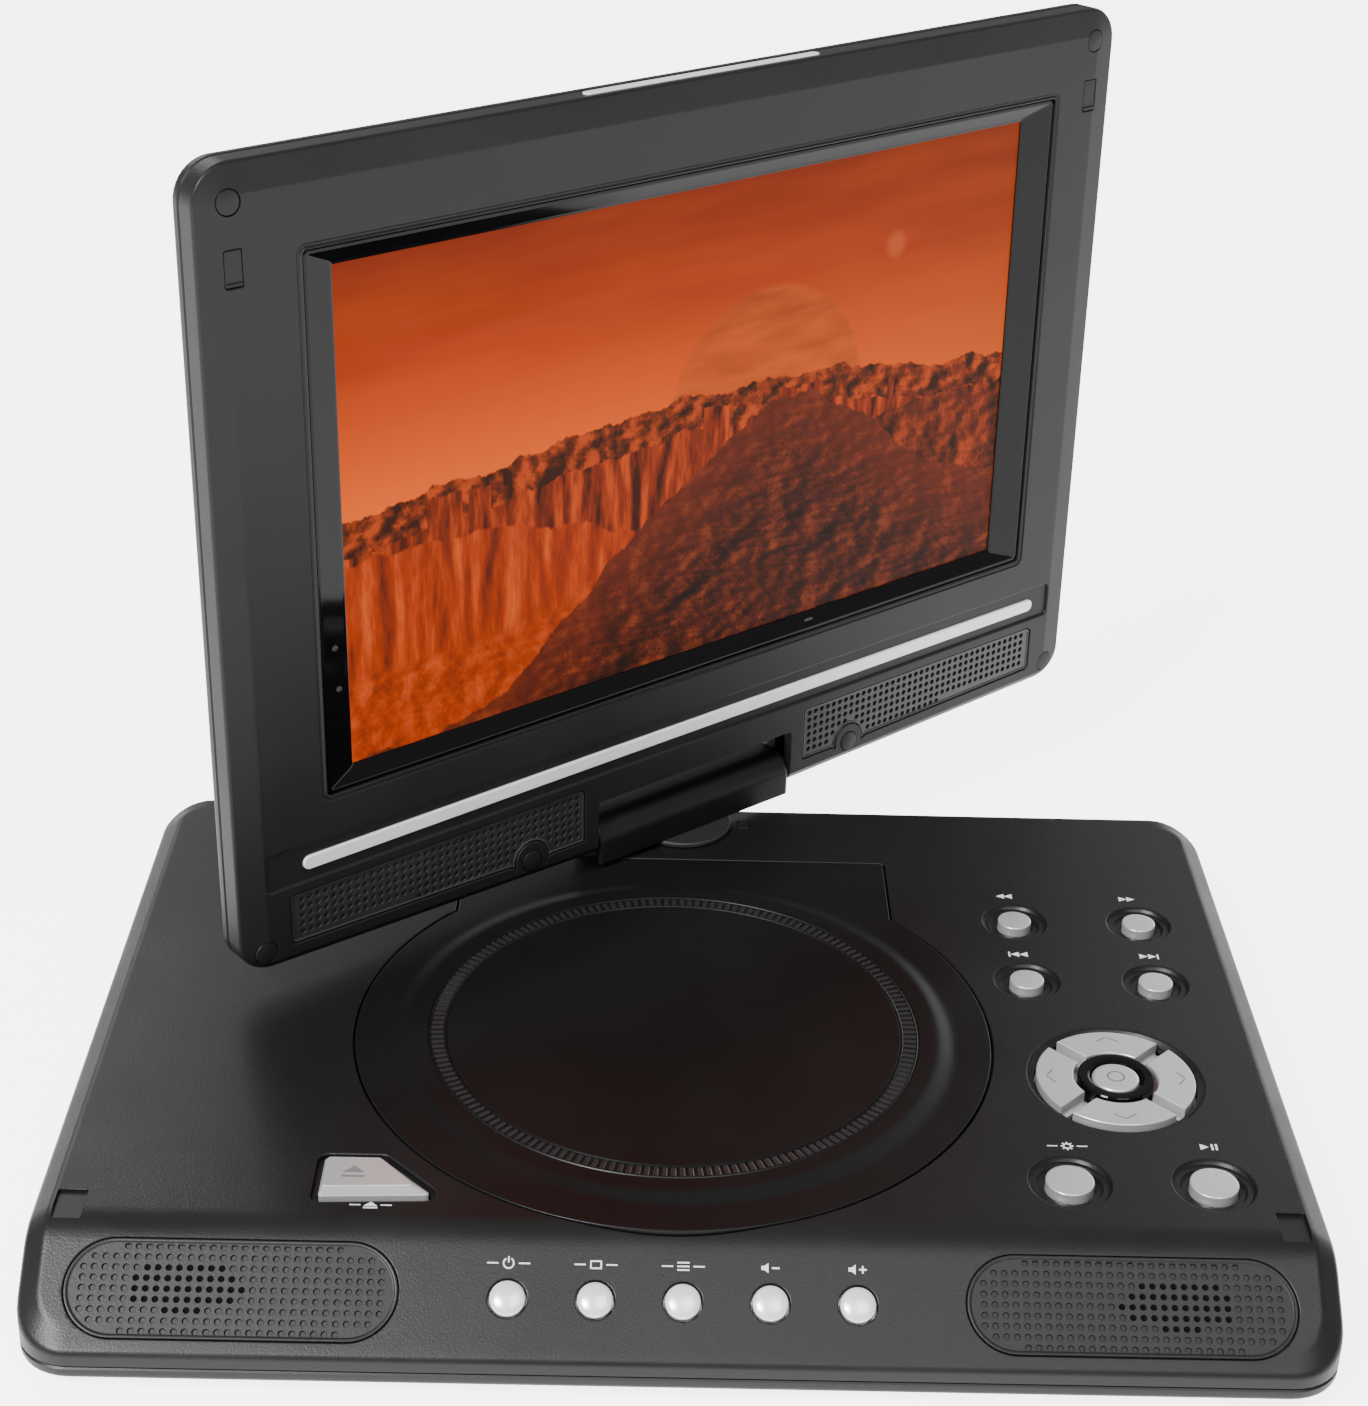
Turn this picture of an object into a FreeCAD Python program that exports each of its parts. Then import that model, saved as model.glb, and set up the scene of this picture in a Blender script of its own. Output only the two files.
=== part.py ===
import FreeCAD, Part
import math
import os

os.makedirs("parts", exist_ok=True)
V = FreeCAD.Vector

# ---- driving dimensions, millimetres ----
BASE_W = 258.7
BASE_D = 188.5
CORNER_R = 11.0
TOP = 25.5
FEET_H = 1.5
PARTING = 6.4
WALL = 2.2
CREASE_Y = -72.75
SLOPE_DEG = 36.5
ROLL_R = 12.0
BEVEL_W = 4.35
BEVEL_H = 3.0
BUMP_R = 12.8

DOOR_X = -2.06
DOOR_Y = -3.75
DOOR_R = 69.6
DOOR_GAP = 0.5
TAB_HALF = 51.0
TAB_BACK = 68.95
DOOR_T = 1.6
PLATEAU_H = 0.8
HINGE_Y = 67.2
HINGE_Z = 22.9

SWIVEL_Y = 86.2
TILT_Z = 32.5
SWIVEL_REST_DEG = 39.05
LEAN_REST_DEG = 0.6
TURRET_R = 12.0
SHAFT_R = 6.0
BLOCK_R = 5.4
BLOCK_HALF = 30.0

LID_HALF = 128.7
LID_TOP = 181.5
LID_BOTTOM = -2.1
LID_END_BOTTOM = 0.2
LID_CORNER_R = 8.5
LID_FRONT = -5.4
LID_PART = 0.8
LID_BACK = 5.2
LID_WALL = 1.9
WIN_X0 = -105.3
WIN_X1 = 108.9
WIN_Z0 = 38.5
WIN_Z1 = 161.3
PIC_X0 = -97.4
PIC_X1 = 99.5
PIC_Z0 = 43.2
PIC_Z1 = 156.6
NOTCH_HALF = 31.8
NOTCH_TOP = 12.0
BACK_NOTCH_TOP = 8.2
PIN_END_R = 1.3

BUTTON_TRAVEL = 0.8
CAP_TOP = TOP + 0.6
CAP_BOTTOM = 21.6
CAP_GAP = 0.35
DISH_Z = 24.6
BOARD_TOP = 19.0

SLOPE = math.radians(SLOPE_DEG)
CS = math.cos(SLOPE)
SN = math.sin(SLOPE)


# ---- helpers ----
def box(x0, x1, y0, y1, z0, z1):
    return Part.makeBox(x1 - x0, y1 - y0, z1 - z0, V(x0, y0, z0))


def cyl(r, x, y, z0, z1):
    return Part.makeCylinder(r, z1 - z0, V(x, y, z0), V(0, 0, 1))


def cyl_x(r, y, z, x0, x1):
    return Part.makeCylinder(r, x1 - x0, V(x0, y, z), V(1, 0, 0))


def cyl_y(r, x, z, y0, y1):
    return Part.makeCylinder(r, y1 - y0, V(x, y0, z), V(0, 1, 0))


def prism(points, direction):
    wire = Part.makePolygon([V(*p) for p in points] + [V(*points[0])])
    return Part.Face(wire).extrude(V(*direction))


def rounded_wire(x0, x1, y0, y1, r, place):
    a = r * (1.0 - math.sqrt(0.5))
    e = []
    e.append(Part.makeLine(place(x0 + r, y0), place(x1 - r, y0)))
    e.append(Part.Arc(place(x1 - r, y0), place(x1 - a, y0 + a), place(x1, y0 + r)).toShape())
    e.append(Part.makeLine(place(x1, y0 + r), place(x1, y1 - r)))
    e.append(Part.Arc(place(x1, y1 - r), place(x1 - a, y1 - a), place(x1 - r, y1)).toShape())
    e.append(Part.makeLine(place(x1 - r, y1), place(x0 + r, y1)))
    e.append(Part.Arc(place(x0 + r, y1), place(x0 + a, y1 - a), place(x0, y1 - r)).toShape())
    e.append(Part.makeLine(place(x0, y1 - r), place(x0, y0 + r)))
    e.append(Part.Arc(place(x0, y0 + r), place(x0 + a, y0 + a), place(x0 + r, y0)).toShape())
    return Part.Wire(e)


def rounded_plate(x0, x1, y0, y1, r, z0, z1):
    wire = rounded_wire(x0, x1, y0, y1, r, lambda a, b: V(a, b, z0))
    return Part.Face(wire).extrude(V(0, 0, z1 - z0))


def lid_plate(x0, x1, z0, z1, r, y0, y1):
    wire = rounded_wire(x0, x1, z0, z1, r, lambda a, b: V(a, y0, b))
    return Part.Face(wire).extrude(V(0, y1 - y0, 0))


def lid_loft(first, second):
    wires = []
    for x0, x1, z0, z1, r, y in (first, second):
        wires.append(rounded_wire(x0, x1, z0, z1, r, lambda a, b, y=y: V(a, y, b)))
    return Part.makeLoft(wires, True)


def fuse(shapes):
    out = shapes[0]
    if len(shapes) > 1:
        out = out.multiFuse(shapes[1:])
    return out.removeSplitter()


def group(shapes):
    return Part.makeCompound(shapes)


def save(name, shape):
    if shape.ShapeType != "Compound":
        shape = group([shape])
    solids = shape.Solids
    if len(solids) == 1:
        shape = solids[0]
    shape.exportStep("parts/" + name + ".step")


def slope_point(x, s, depth):
    return V(x, CREASE_Y - s * CS - depth * SN, TOP - s * SN + depth * CS)


def slope_cyl(x, s, r, d0, d1):
    return Part.makeCylinder(r, d1 - d0, slope_point(x, s, d0), V(0, -SN, CS))


def slope_plate(x0, x1, s0, s1, r, d0, d1):
    wire = rounded_wire(x0, x1, s0, s1, r, lambda a, b: slope_point(a, b, d0))
    return Part.Face(wire).extrude(V(0, -SN * (d1 - d0), CS * (d1 - d0)))


def to_lid(shape):
    out = shape.copy()
    out.rotate(V(0, 0, 0), V(1, 0, 0), -LEAN_REST_DEG)
    out.rotate(V(0, 0, 0), V(0, 0, 1), SWIVEL_REST_DEG)
    out.translate(V(0, SWIVEL_Y, TILT_Z))
    return out


def to_turret(shape):
    out = shape.copy()
    out.rotate(V(0, 0, 0), V(0, 0, 1), SWIVEL_REST_DEG)
    out.translate(V(0, SWIVEL_Y, TILT_Z))
    return out


# ---- base housing ----
def side_profile(inset, z_bottom):
    # outline seen from the right: rear wall, flat top, rolled crease, slope, front wall
    back = BASE_D / 2 - inset
    front = -BASE_D / 2 + inset
    top = TOP - inset
    crease = CREASE_Y + inset * math.tan(SLOPE / 2)
    roll = max(ROLL_R - inset, 2.0)
    t = roll * math.tan(SLOPE / 2)
    s_end = (crease - front) / CS
    a = V(0, back, z_bottom)
    b = V(0, back, top)
    c = V(0, crease + t, top)
    mid_y = crease + t - roll * math.sin(SLOPE / 2)
    mid = V(0, mid_y, top - roll * (1 - math.cos(SLOPE / 2)))
    d = V(0, crease - t * CS, top - t * SN)
    e = V(0, front, top - s_end * SN)
    f = V(0, front, z_bottom)
    edges = [Part.makeLine(a, b), Part.makeLine(b, c), Part.Arc(c, mid, d).toShape()]
    edges += [Part.makeLine(d, e), Part.makeLine(e, f), Part.makeLine(f, a)]
    return Part.Face(Part.Wire(edges))


def base_block(inset, z_bottom):
    half = BASE_W / 2 - inset
    top = TOP - inset
    body = side_profile(inset, z_bottom)
    body.translate(V(-half, 0, 0))
    body = body.extrude(V(2 * half, 0, 0))
    pts = [(-half, -200, z_bottom), (-half, -200, top - BEVEL_H), (-half + BEVEL_W, -200, top)]
    pts += [(half - BEVEL_W, -200, top), (half, -200, top - BEVEL_H), (half, -200, z_bottom)]
    across = prism(pts, (0, 400, 0))
    d = BASE_D / 2 - inset
    plan = rounded_plate(-half, half, -d, d, CORNER_R - inset, z_bottom, top)
    body = body.common(across).common(plan)
    bump = cyl(BUMP_R - inset, 0, SWIVEL_Y, z_bottom, top)
    return body.fuse(bump).removeSplitter()


SCREW_XY = [(-121, 84), (121, 84), (-121, -65.5), (121, -65.5), (-62, 84), (62, 84)]
ROUND_BUTTONS = [
    ("rewind_button", 78.4, 43.75, 7.4, 3.9),
    ("forward_button", 107.8, 43.75, 7.4, 3.9),
    ("previous_button", 78.4, 18.5, 7.4, 3.9),
    ("next_button", 107.8, 18.5, 7.4, 3.9),
    ("setup_button", 78.4, -55.35, 8.4, 5.0),
    ("play_button", 107.8, -55.35, 8.4, 5.0),
]
PAD_X = 93.1
PAD_Y = -19.0
PAD_R = 18.8
SEG_IN = 9.1
SEG_OUT = 17.1
ENTER_R = 5.1
FRONT_X = [-34.1, -17.05, 0.0, 17.05, 34.1]
FRONT_S = 14.35
FRONT_R = 3.5
FRONT_HOLE_R = 3.85
GRILLE = (55.2, 120.2, 3.7, 23.5)
OPEN_PTS = [(-72.8, -52.35), (-61.2, -52.35), (-50.2, -63.65), (-72.9, -64.65)]
JACK_Z = 13.5
JACK_Y = [20.0, 34.0]
DC_Y = 52.0


def poly_plate(points, grow, z0, z1):
    cx = sum(p[0] for p in points) / len(points)
    cy = sum(p[1] for p in points) / len(points)
    wire = Part.makePolygon([V(x, y, z0) for x, y in points] + [V(points[0][0], points[0][1], z0)])
    if grow:
        wire = wire.makeOffset2D(grow, 2)
    return Part.Face(wire).extrude(V(0, 0, z1 - z0))


def door_plan(grow, z0, z1):
    disc = cyl(DOOR_R + grow, DOOR_X, DOOR_Y, z0, z1)
    tab = box(DOOR_X - TAB_HALF - grow, DOOR_X + TAB_HALF + grow, DOOR_Y + 30, TAB_BACK + grow, z0, z1)
    return disc.fuse(tab).removeSplitter()


def pad_segment(direction, r0, r1, gap, z0, z1):
    ring = cyl(r1, PAD_X, PAD_Y, z0, z1).cut(cyl(r0, PAD_X, PAD_Y, z0 - 1, z1 + 1))
    reach = 40.0
    shift = gap / 2 * math.sqrt(2)
    base = direction * 90.0
    pts = []
    for ang, dist in ((base, shift), (base - 45, reach), (base + 45, reach)):
        a = math.radians(ang)
        if dist == shift:
            pts.append((PAD_X + dist * math.cos(a), PAD_Y + dist * math.sin(a), z0 - 1))
        else:
            ox = shift * math.cos(math.radians(base))
            oy = shift * math.sin(math.radians(base))
            pts.append((PAD_X + ox + dist * math.cos(a), PAD_Y + oy + dist * math.sin(a), z0 - 1))
    wedge = prism(pts, (0, 0, z1 - z0 + 2))
    return ring.common(wedge)


def make_base_top():
    shell = base_block(0.0, PARTING).cut(base_block(WALL, PARTING - 1.0))
    bosses = [cyl(3.2, x, y, PARTING + 1.6, TOP - 1.5) for x, y in SCREW_XY]
    shell = shell.fuse(bosses)
    # the swivel boss under the rear of the top
    cuts = [cyl(1.3, x, y, PARTING, 16.0) for x, y in SCREW_XY]
    cuts.append(door_plan(DOOR_GAP, 20.0, TOP + 3))
    cuts.append(cyl(SHAFT_R + 0.06, 0, SWIVEL_Y, 15, TOP + 3))
    for name, x, y, dish, cap in ROUND_BUTTONS:
        cuts.append(cyl(dish, x, y, DISH_Z, TOP + 3))
        cuts.append(cyl(cap + CAP_GAP, x, y, 20, TOP + 3))
    cuts.append(cyl(PAD_R, PAD_X, PAD_Y, DISH_Z, TOP + 3))
    cuts.append(cyl(ENTER_R + CAP_GAP, PAD_X, PAD_Y, 20, TOP + 3))
    for k in range(4):
        cuts.append(pad_segment(k, SEG_IN - CAP_GAP, SEG_OUT + CAP_GAP, 2.3, 20, TOP + 3))
    cuts.append(poly_plate(OPEN_PTS, 0.35, 20, TOP + 3))
    cuts.append(poly_plate(OPEN_PTS, 2.0, DISH_Z, TOP + 3))
    for x in FRONT_X:
        cuts.append(slope_cyl(x, FRONT_S, FRONT_HOLE_R, -6.0, 4.0))
    x0, x1, s0, s1 = GRILLE
    for side in (-1, 1):
        lo = min(side * x0, side * x1)
        hi = max(side * x0, side * x1)
        cuts.append(slope_plate(lo, hi, s0, s1, (s1 - s0) / 2 - 0.01, -1.0, 6.0))
        cuts.append(slope_plate(lo + 2, hi - 2, s0 + 2, s1 - 2, (s1 - s0) / 2 - 2.01, -6.0, 6.0))
        pocket = box(118.5, 124.3, -72.4, -64.0, TOP - 1.2, TOP + 3)
        if side < 0:
            pocket = box(-124.3, -118.5, -72.4, -64.0, TOP - 1.2, TOP + 3)
        cuts.append(pocket)
    for y in JACK_Y:
        cuts.append(cyl_x(3.3, y, JACK_Z, 120, 135))
    cuts.append(cyl_x(4.6, DC_Y, JACK_Z, 120, 135))
    return shell.cut(cuts).removeSplitter()


def make_base_bottom():
    half = BASE_W / 2
    d = BASE_D / 2
    low = FEET_H
    top = PARTING - 0.15

    def tray(inset, z0):
        rect = rounded_plate(-half + inset, half - inset, -d + inset, d - inset, CORNER_R - inset, z0, top)
        p1 = [(-half + inset, -200, top), (-half + inset, -200, 4.2), (-half + 6.5 + inset, -200, z0)]
        p1 += [(half - 6.5 - inset, -200, z0), (half - inset, -200, 4.2), (half - inset, -200, top)]
        p2 = [(-200, -d + inset, top), (-200, -d + inset, 4.2), (-200, -d + 6.5 + inset, z0)]
        p2 += [(-200, d - 3.5 - inset, z0), (-200, d - inset, 4.2), (-200, d - inset, top)]
        body = rect.common(prism(p1, (0, 400, 0))).common(prism(p2, (400, 0, 0)))
        return body.fuse(cyl(BUMP_R - inset - 0.3, 0, SWIVEL_Y, max(z0, 2.4), top)).removeSplitter()

    shell = tray(0.0, low).cut(tray(WALL, low + 2.0).fuse(box(-100, 100, -60, 60, top - 0.5, top + 1)))
    bosses = [cyl(3.2, x, y, low + 1.0, PARTING + 1.3) for x, y in SCREW_XY]
    shell = shell.fuse(bosses)
    cuts = []
    for x, y in SCREW_XY:
        cuts.append(cyl(1.3, x, y, 0, 20))
        cuts.append(cyl(2.5, x, y, 0, 3.5))
    return shell.cut(cuts).removeSplitter()


save("base_top_shell", make_base_top())
save("base_bottom_shell", make_base_bottom())
save("feet", group([cyl(6.0, x, y, 0, FEET_H) for x, y in ((-108, 78), (108, 78), (-108, -76), (108, -76))]))
screws = [fuse([cyl(2.4, x, y, 1.7, 3.5), cyl(1.3, x, y, 3.4, 14.0)]) for x, y in SCREW_XY]
save("case_screws", group(screws))


# ---- disc well, drive ----
def make_well():
    x, y = DOOR_X, DOOR_Y
    bowl = cyl(66.8, x, y, 15.0, 23.1).cut(cyl(65.4, x, y, 16.4, 24.0))
    rim = cyl(72.0, x, y, 21.7, 23.1).cut(cyl(66.0, x, y, 21.0, 24.0))
    shelf = box(x - 54, x + 54, y + 40, 71.5, 18.8, 20.0).cut(cyl(66.0, x, y, 10, 24))
    side_l = box(x - 54, x - 52.6, y + 40, 71.5, 18.8, 23.1).cut(cyl(66.0, x, y, 10, 24))
    side_r = box(x + 52.6, x + 54, y + 40, 71.5, 18.8, 23.1).cut(cyl(66.0, x, y, 10, 24))
    wall = box(x - 54, x + 54, 70.1, 71.5, 18.8, 23.1)
    ears = []
    for hx in (-42, 42):
        for off in (-6.0, 4.0):
            ears.append(box(x + hx + off, x + hx + off + 2.0, HINGE_Y - 1.6, HINGE_Y + 1.6, 19.5, HINGE_Z + 0.6))
    well = bowl.fuse([rim, shelf, side_l, side_r, wall] + ears)
    cuts = [cyl(16.5, x, y, 14, 18), box(x - 6.2, x + 6.2, y - 66, y - 10, 14, 18).common(cyl(64.5, x, y, 10, 30))]
    cuts.append(cyl(65.4, x, y, 16.4, 26.0))
    for hx in (-42, 42):
        cuts.append(cyl_x(0.8, HINGE_Y, HINGE_Z, x + hx - 7, x + hx + 7))
    # the rim follows the inside of the rolled front edge
    return well.cut(cuts).common(base_block(WALL + 0.1, PARTING)).removeSplitter()


save("disc_well", make_well())


def make_door():
    x, y = DOOR_X, DOOR_Y
    door = door_plan(0.0, TOP - DOOR_T, TOP)
    cone = Part.makeCone(61.7, 59.0, PLATEAU_H, V(x, y, TOP), V(0, 0, 1))
    knuckles = []
    for hx in (-42, 42):
        k = cyl_x(1.5, HINGE_Y, HINGE_Z, x + hx - 3.6, x + hx + 3.6)
        k = k.fuse(box(x + hx - 3.6, x + hx + 3.6, HINGE_Y - 1.5, HINGE_Y + 1.5, HINGE_Z, TOP - 1.0))
        knuckles.append(k)
    groove = cyl(53.39, x, y, TOP + 0.45, TOP + 3).cut(cyl(50.24, x, y, TOP, TOP + 4))
    door = door.fuse([cone] + knuckles).cut([groove])
    bores = [cyl_x(0.86, HINGE_Y, HINGE_Z, x + hx - 5, x + hx + 5) for hx in (-42, 42)]
    return door.cut(bores).removeSplitter()


save("disc_door", make_door())
pins = [cyl_x(0.8, HINGE_Y, HINGE_Z, DOOR_X + hx - 6, DOOR_X + hx + 6) for hx in (-42, 42)]
save("door_hinge_pins", group(pins))

CHASSIS_Z = 8.6
CHASSIS_TOP = 9.8
ROD_X = 10.0
ROD_Z = 12.8
SCREW_X = -18.0
SCREW_Z = 12.4


def make_chassis():
    x, y = DOOR_X, DOOR_Y
    plate = box(x - 50, x + 50, y - 72, y + 36, CHASSIS_Z, CHASSIS_TOP)
    legs = [cyl(3.0, x + a, y + b, 3.5, CHASSIS_Z + 0.2) for a in (-44, 44) for b in (-66, 30)]
    posts = []
    for px in (-ROD_X, ROD_X):
        for py in (-69.5, -15.5):
            posts.append(box(x + px - 2.6, x + px + 2.6, y + py, y + py + 3.0, CHASSIS_TOP - 0.5, 14.7))
    posts.append(box(x + SCREW_X - 2.6, x + SCREW_X + 2.6, y - 71.1, y - 68.5, CHASSIS_TOP - 0.5, 14.7))
    body = plate.fuse(legs + posts)
    cuts = []
    for px in (-ROD_X, ROD_X):
        cuts.append(cyl_y(1.5, x + px, ROD_Z, y - 80, y + 0))
    cuts.append(cyl_y(1.06, x + SCREW_X, SCREW_Z, y - 80, y - 60))
    return body.cut(cuts).removeSplitter()


save("drive_chassis", make_chassis())
rods = [cyl_y(1.5, DOOR_X + px, ROD_Z, DOOR_Y - 69.5, DOOR_Y - 12.5) for px in (-ROD_X, ROD_X)]
save("guide_rods", group(rods))
motor = cyl(11.5, DOOR_X, DOOR_Y, CHASSIS_TOP, 14.8).cut(cyl(1.06, DOOR_X, DOOR_Y, 10.4, 16.0))
save("spindle_motor", motor)
plate = Part.makeCone(7.3, 6.4, 0.9, V(DOOR_X, DOOR_Y, 20.0), V(0, 0, 1))
tt = fuse([cyl(1.0, DOOR_X, DOOR_Y, 10.7, 17.2), cyl(15.0, DOOR_X, DOOR_Y, 17.0, 18.4),
           cyl(7.3, DOOR_X, DOOR_Y, 18.3, 20.0), plate])
save("turntable", tt)


def make_sled():
    x, y = DOOR_X, DOOR_Y
    body = box(x - 13, x + 13, y - 42, y - 26, 11.0, 14.6)
    lens = cyl(5.0, x, y - 34, 14.5, 17.2)
    arm = box(x - 20.5, x - 12, y - 38, y - 32, 10.2, 14.5)
    out = body.fuse([lens, arm])
    cuts = [cyl_y(1.56, x + px, ROD_Z, y - 50, y - 20) for px in (-ROD_X, ROD_X)]
    cuts.append(cyl_y(1.56, x + SCREW_X, SCREW_Z, y - 50, y - 20))
    return out.cut(cuts).removeSplitter()


save("pickup_sled", make_sled())
screw = fuse([cyl_y(1.5, DOOR_X + SCREW_X, SCREW_Z, DOOR_Y - 68.2, DOOR_Y - 14.2),
              cyl_y(1.0, DOOR_X + SCREW_X, SCREW_Z, DOOR_Y - 71.0, DOOR_Y - 11.0)])
save("lead_screw", screw)
sm = box(DOOR_X - 22.5, DOOR_X - 13.5, DOOR_Y - 13.8, DOOR_Y + 0.5, CHASSIS_TOP, 14.8)
sm = sm.cut(cyl_y(1.06, DOOR_X + SCREW_X, SCREW_Z, DOOR_Y - 14.5, DOOR_Y - 10.0))
sm = sm.cut(cyl(11.9, DOOR_X, DOOR_Y, 9, 16))
save("sled_motor", sm)

# ---- boards, battery, sockets ----
main = box(58, 118, -56, 78, 6.6, 8.2)
main = main.fuse([box(66, 84, -30, -12, 8.1, 9.8), box(90, 104, 0, 14, 8.1, 9.6)])
save("main_board", main.removeSplitter())
save("button_board", box(71.5, 116, -66, 52, 17.4, BOARD_TOP))
switch_xy = [(b[1], b[2]) for b in ROUND_BUTTONS] + [(PAD_X, PAD_Y)]
mid_r = (SEG_IN + SEG_OUT) / 2
for ax, ay in ((1, 0), (0, 1), (-1, 0), (0, -1)):
    switch_xy.append((PAD_X + ax * mid_r, PAD_Y + ay * mid_r))
switches = [box(x - 2.2, x + 2.2, y - 2.2, y + 2.2, BOARD_TOP, 20.4) for x, y in switch_xy]
for x in FRONT_X:
    sw = box(-2.2, 2.2, -2.2, 2.2, 0, 1.2)
    sw.rotate(V(0, 0, 0), V(1, 0, 0), SLOPE_DEG)
    sw.translate(slope_point(x, FRONT_S, -7.2))
    switches.append(sw)
save("tact_switches", group(switches))
save("front_button_board", slope_plate(-40, 40, FRONT_S - 5, FRONT_S + 5, 1.0, -8.8, -7.2))
save("battery_pack", box(-124, -75, -57, 62, 4.0, 20.0))


def make_jacks():
    out = []
    for y in JACK_Y:
        body = box(118.5, 126.8, y - 4, y + 4, 8.4, 18.0)
        nose = cyl_x(3.2, y, JACK_Z, 126, 129.35)
        jack = body.fuse(nose).cut(cyl_x(1.8, y, JACK_Z, 119.35, 131))
        out.append(jack.removeSplitter())
    return group(out)


save("audio_jacks", make_jacks())
dc = box(118.5, 126.8, DC_Y - 5, DC_Y + 5, 8.4, 18.6).fuse(cyl_x(4.5, DC_Y, JACK_Z, 126, 129.35))
dc = dc.cut(cyl_x(2.9, DC_Y, JACK_Z, 120.5, 131)).fuse(cyl_x(0.8, DC_Y, JACK_Z, 119.5, 128.5))
save("dc_jack", dc.removeSplitter())


# ---- base speakers and grilles ----
def make_grille(side):
    x0, x1, s0, s1 = GRILLE
    gap = 0.15
    lo = min(side * x0, side * x1) + gap
    hi = max(side * x0, side * x1) - gap
    plate = slope_plate(lo, hi, s0 + gap, s1 - gap, (s1 - s0) / 2 - gap - 0.01, -1.0, 0.0)
    holes = []
    mid = side * (abs(x0 + x1) / 2 + 2.0)
    for i in range(-4, 5):
        for j in range(-1, 2):
            holes.append(slope_cyl(mid + i * 4.2, (s0 + s1) / 2 + j * 4.2, 0.6, -2, 2))
    return plate.cut(holes)


save("base_grilles", group([make_grille(-1), make_grille(1)]))
drivers = []
for side in (-1, 1):
    c = side * 87.7
    cone = slope_cyl(c, 13.6, 13.0, -5.4, -3.4)
    magnet = slope_cyl(c, 13.6, 7.0, -10.2, -5.2)
    drivers.append(fuse([cone.common(box(c - 20, c + 20, -94, -60, 0, 30)), magnet]))
save("base_speakers", group(drivers))

# ---- buttons ----
for name, x, y, dish, cap in ROUND_BUTTONS:
    stem = cyl(cap, x, y, CAP_BOTTOM, CAP_TOP - 0.5)
    crown = Part.makeCone(cap, cap - 0.6, 0.5, V(x, y, CAP_TOP - 0.5), V(0, 0, 1))
    flange = cyl(cap + 1.1, x, y, CAP_BOTTOM, CAP_BOTTOM + 1.1)
    save(name, fuse([stem, crown, flange]))
names = ["dpad_right", "dpad_up", "dpad_left", "dpad_down"]
for k in range(4):
    seg = pad_segment(k, SEG_IN, SEG_OUT, 3.0, CAP_BOTTOM, CAP_TOP - 0.2)
    lip = pad_segment(k, SEG_IN - 0.9, SEG_OUT + 0.9, 1.6, CAP_BOTTOM, CAP_BOTTOM + 1.1)
    save(names[k], fuse([seg, lip]))
stem = cyl(ENTER_R, PAD_X, PAD_Y, CAP_BOTTOM, CAP_TOP)
save("enter_button", fuse([stem, cyl(ENTER_R + 0.9, PAD_X, PAD_Y, CAP_BOTTOM, CAP_BOTTOM + 1.1)]))
ring = cyl(8.3, PAD_X, PAD_Y, DISH_Z, CAP_TOP + 0.1).cut(cyl(ENTER_R + CAP_GAP, PAD_X, PAD_Y, 20, 30))
save("dpad_ring", ring)
for i in range(5):
    x = FRONT_X[i]
    stem = slope_cyl(x, FRONT_S, FRONT_R, -4.6, 0.4)
    c = slope_point(x, FRONT_S, 0.4)
    dome = Part.makeCone(FRONT_R, FRONT_R - 1.2, 0.7, c, V(0, -SN, CS))
    flange = slope_cyl(x, FRONT_S, FRONT_R + 1.1, -4.6, -3.5)
    save("front_button_%d" % (i + 1), fuse([stem, dome, flange]))
ob = poly_plate(OPEN_PTS, 0.0, CAP_BOTTOM, TOP + 0.9)
save("open_button", fuse([ob, poly_plate(OPEN_PTS, 1.0, CAP_BOTTOM, CAP_BOTTOM + 1.1)]))

# ---- swivel and hinge block ----
turret = fuse([cyl(TURRET_R, 0, SWIVEL_Y, TOP + 0.2, TOP + 1.5), cyl(SHAFT_R, 0, SWIVEL_Y, 20.6, TOP + 0.5)])
neck = to_turret(box(-10, 10, -3.8, 3.8, -5.6, -4.2))
turret = turret.fuse(neck).cut(cyl(3.4, 0, SWIVEL_Y, 10, 40)).removeSplitter()
save("swivel_turret", turret)
save("swivel_retainer", cyl(10.0, 0, SWIVEL_Y, 21.2, 22.9).cut(cyl(SHAFT_R, 0, SWIVEL_Y, 20, 24)))
ears = []
for side in (-1, 1):
    lo = min(side * 22.0, side * 24.4)
    ear = box(lo, lo + 2.4, -3.7, 3.7, -3.5, 3.9).common(cyl_x(3.95, 0, 0, -40, 40).fuse(
        box(-40, 40, -3.95, 3.95, -6, 0)))
    ears.append(ear)
bracket = fuse([box(-24.4, 24.4, -3.7, 3.7, -4.2, -3.0)] + ears)
bracket = bracket.cut([cyl_x(2.06, 0, 0, -40, 40), cyl(3.0, 0, 0, -8, -2)])
save("hinge_bracket", to_turret(bracket))


def block(r, half, z0):
    out = cyl_x(r, 0, 0, -half, half)
    return out.fuse(box(-half, half, -r, r, z0, 0)).removeSplitter()


hollow = block(BLOCK_R, BLOCK_HALF, -BLOCK_R).cut(block(BLOCK_R - 1.2, BLOCK_HALF - 1.2, -BLOCK_R - 1))
hollow = hollow.cut(cyl_x(2.4, 0, 0, -40, 40))
front = hollow.common(box(-40, 40, -10, -0.05, -10, 10))
# the rear half is squared up, so it fills the notch behind the round front
rear = box(-BLOCK_HALF, BLOCK_HALF, 0.05, BLOCK_R, -BLOCK_R, BLOCK_R)
rear = rear.cut([box(-BLOCK_HALF + 1.2, BLOCK_HALF - 1.2, -1, BLOCK_R - 1.2, -BLOCK_R - 1, BLOCK_R - 1.2),
                 cyl_x(2.4, 0, 0, -40, 40)])
save("hinge_cover_front", to_turret(front))
save("hinge_cover_rear", to_turret(rear))


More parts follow.
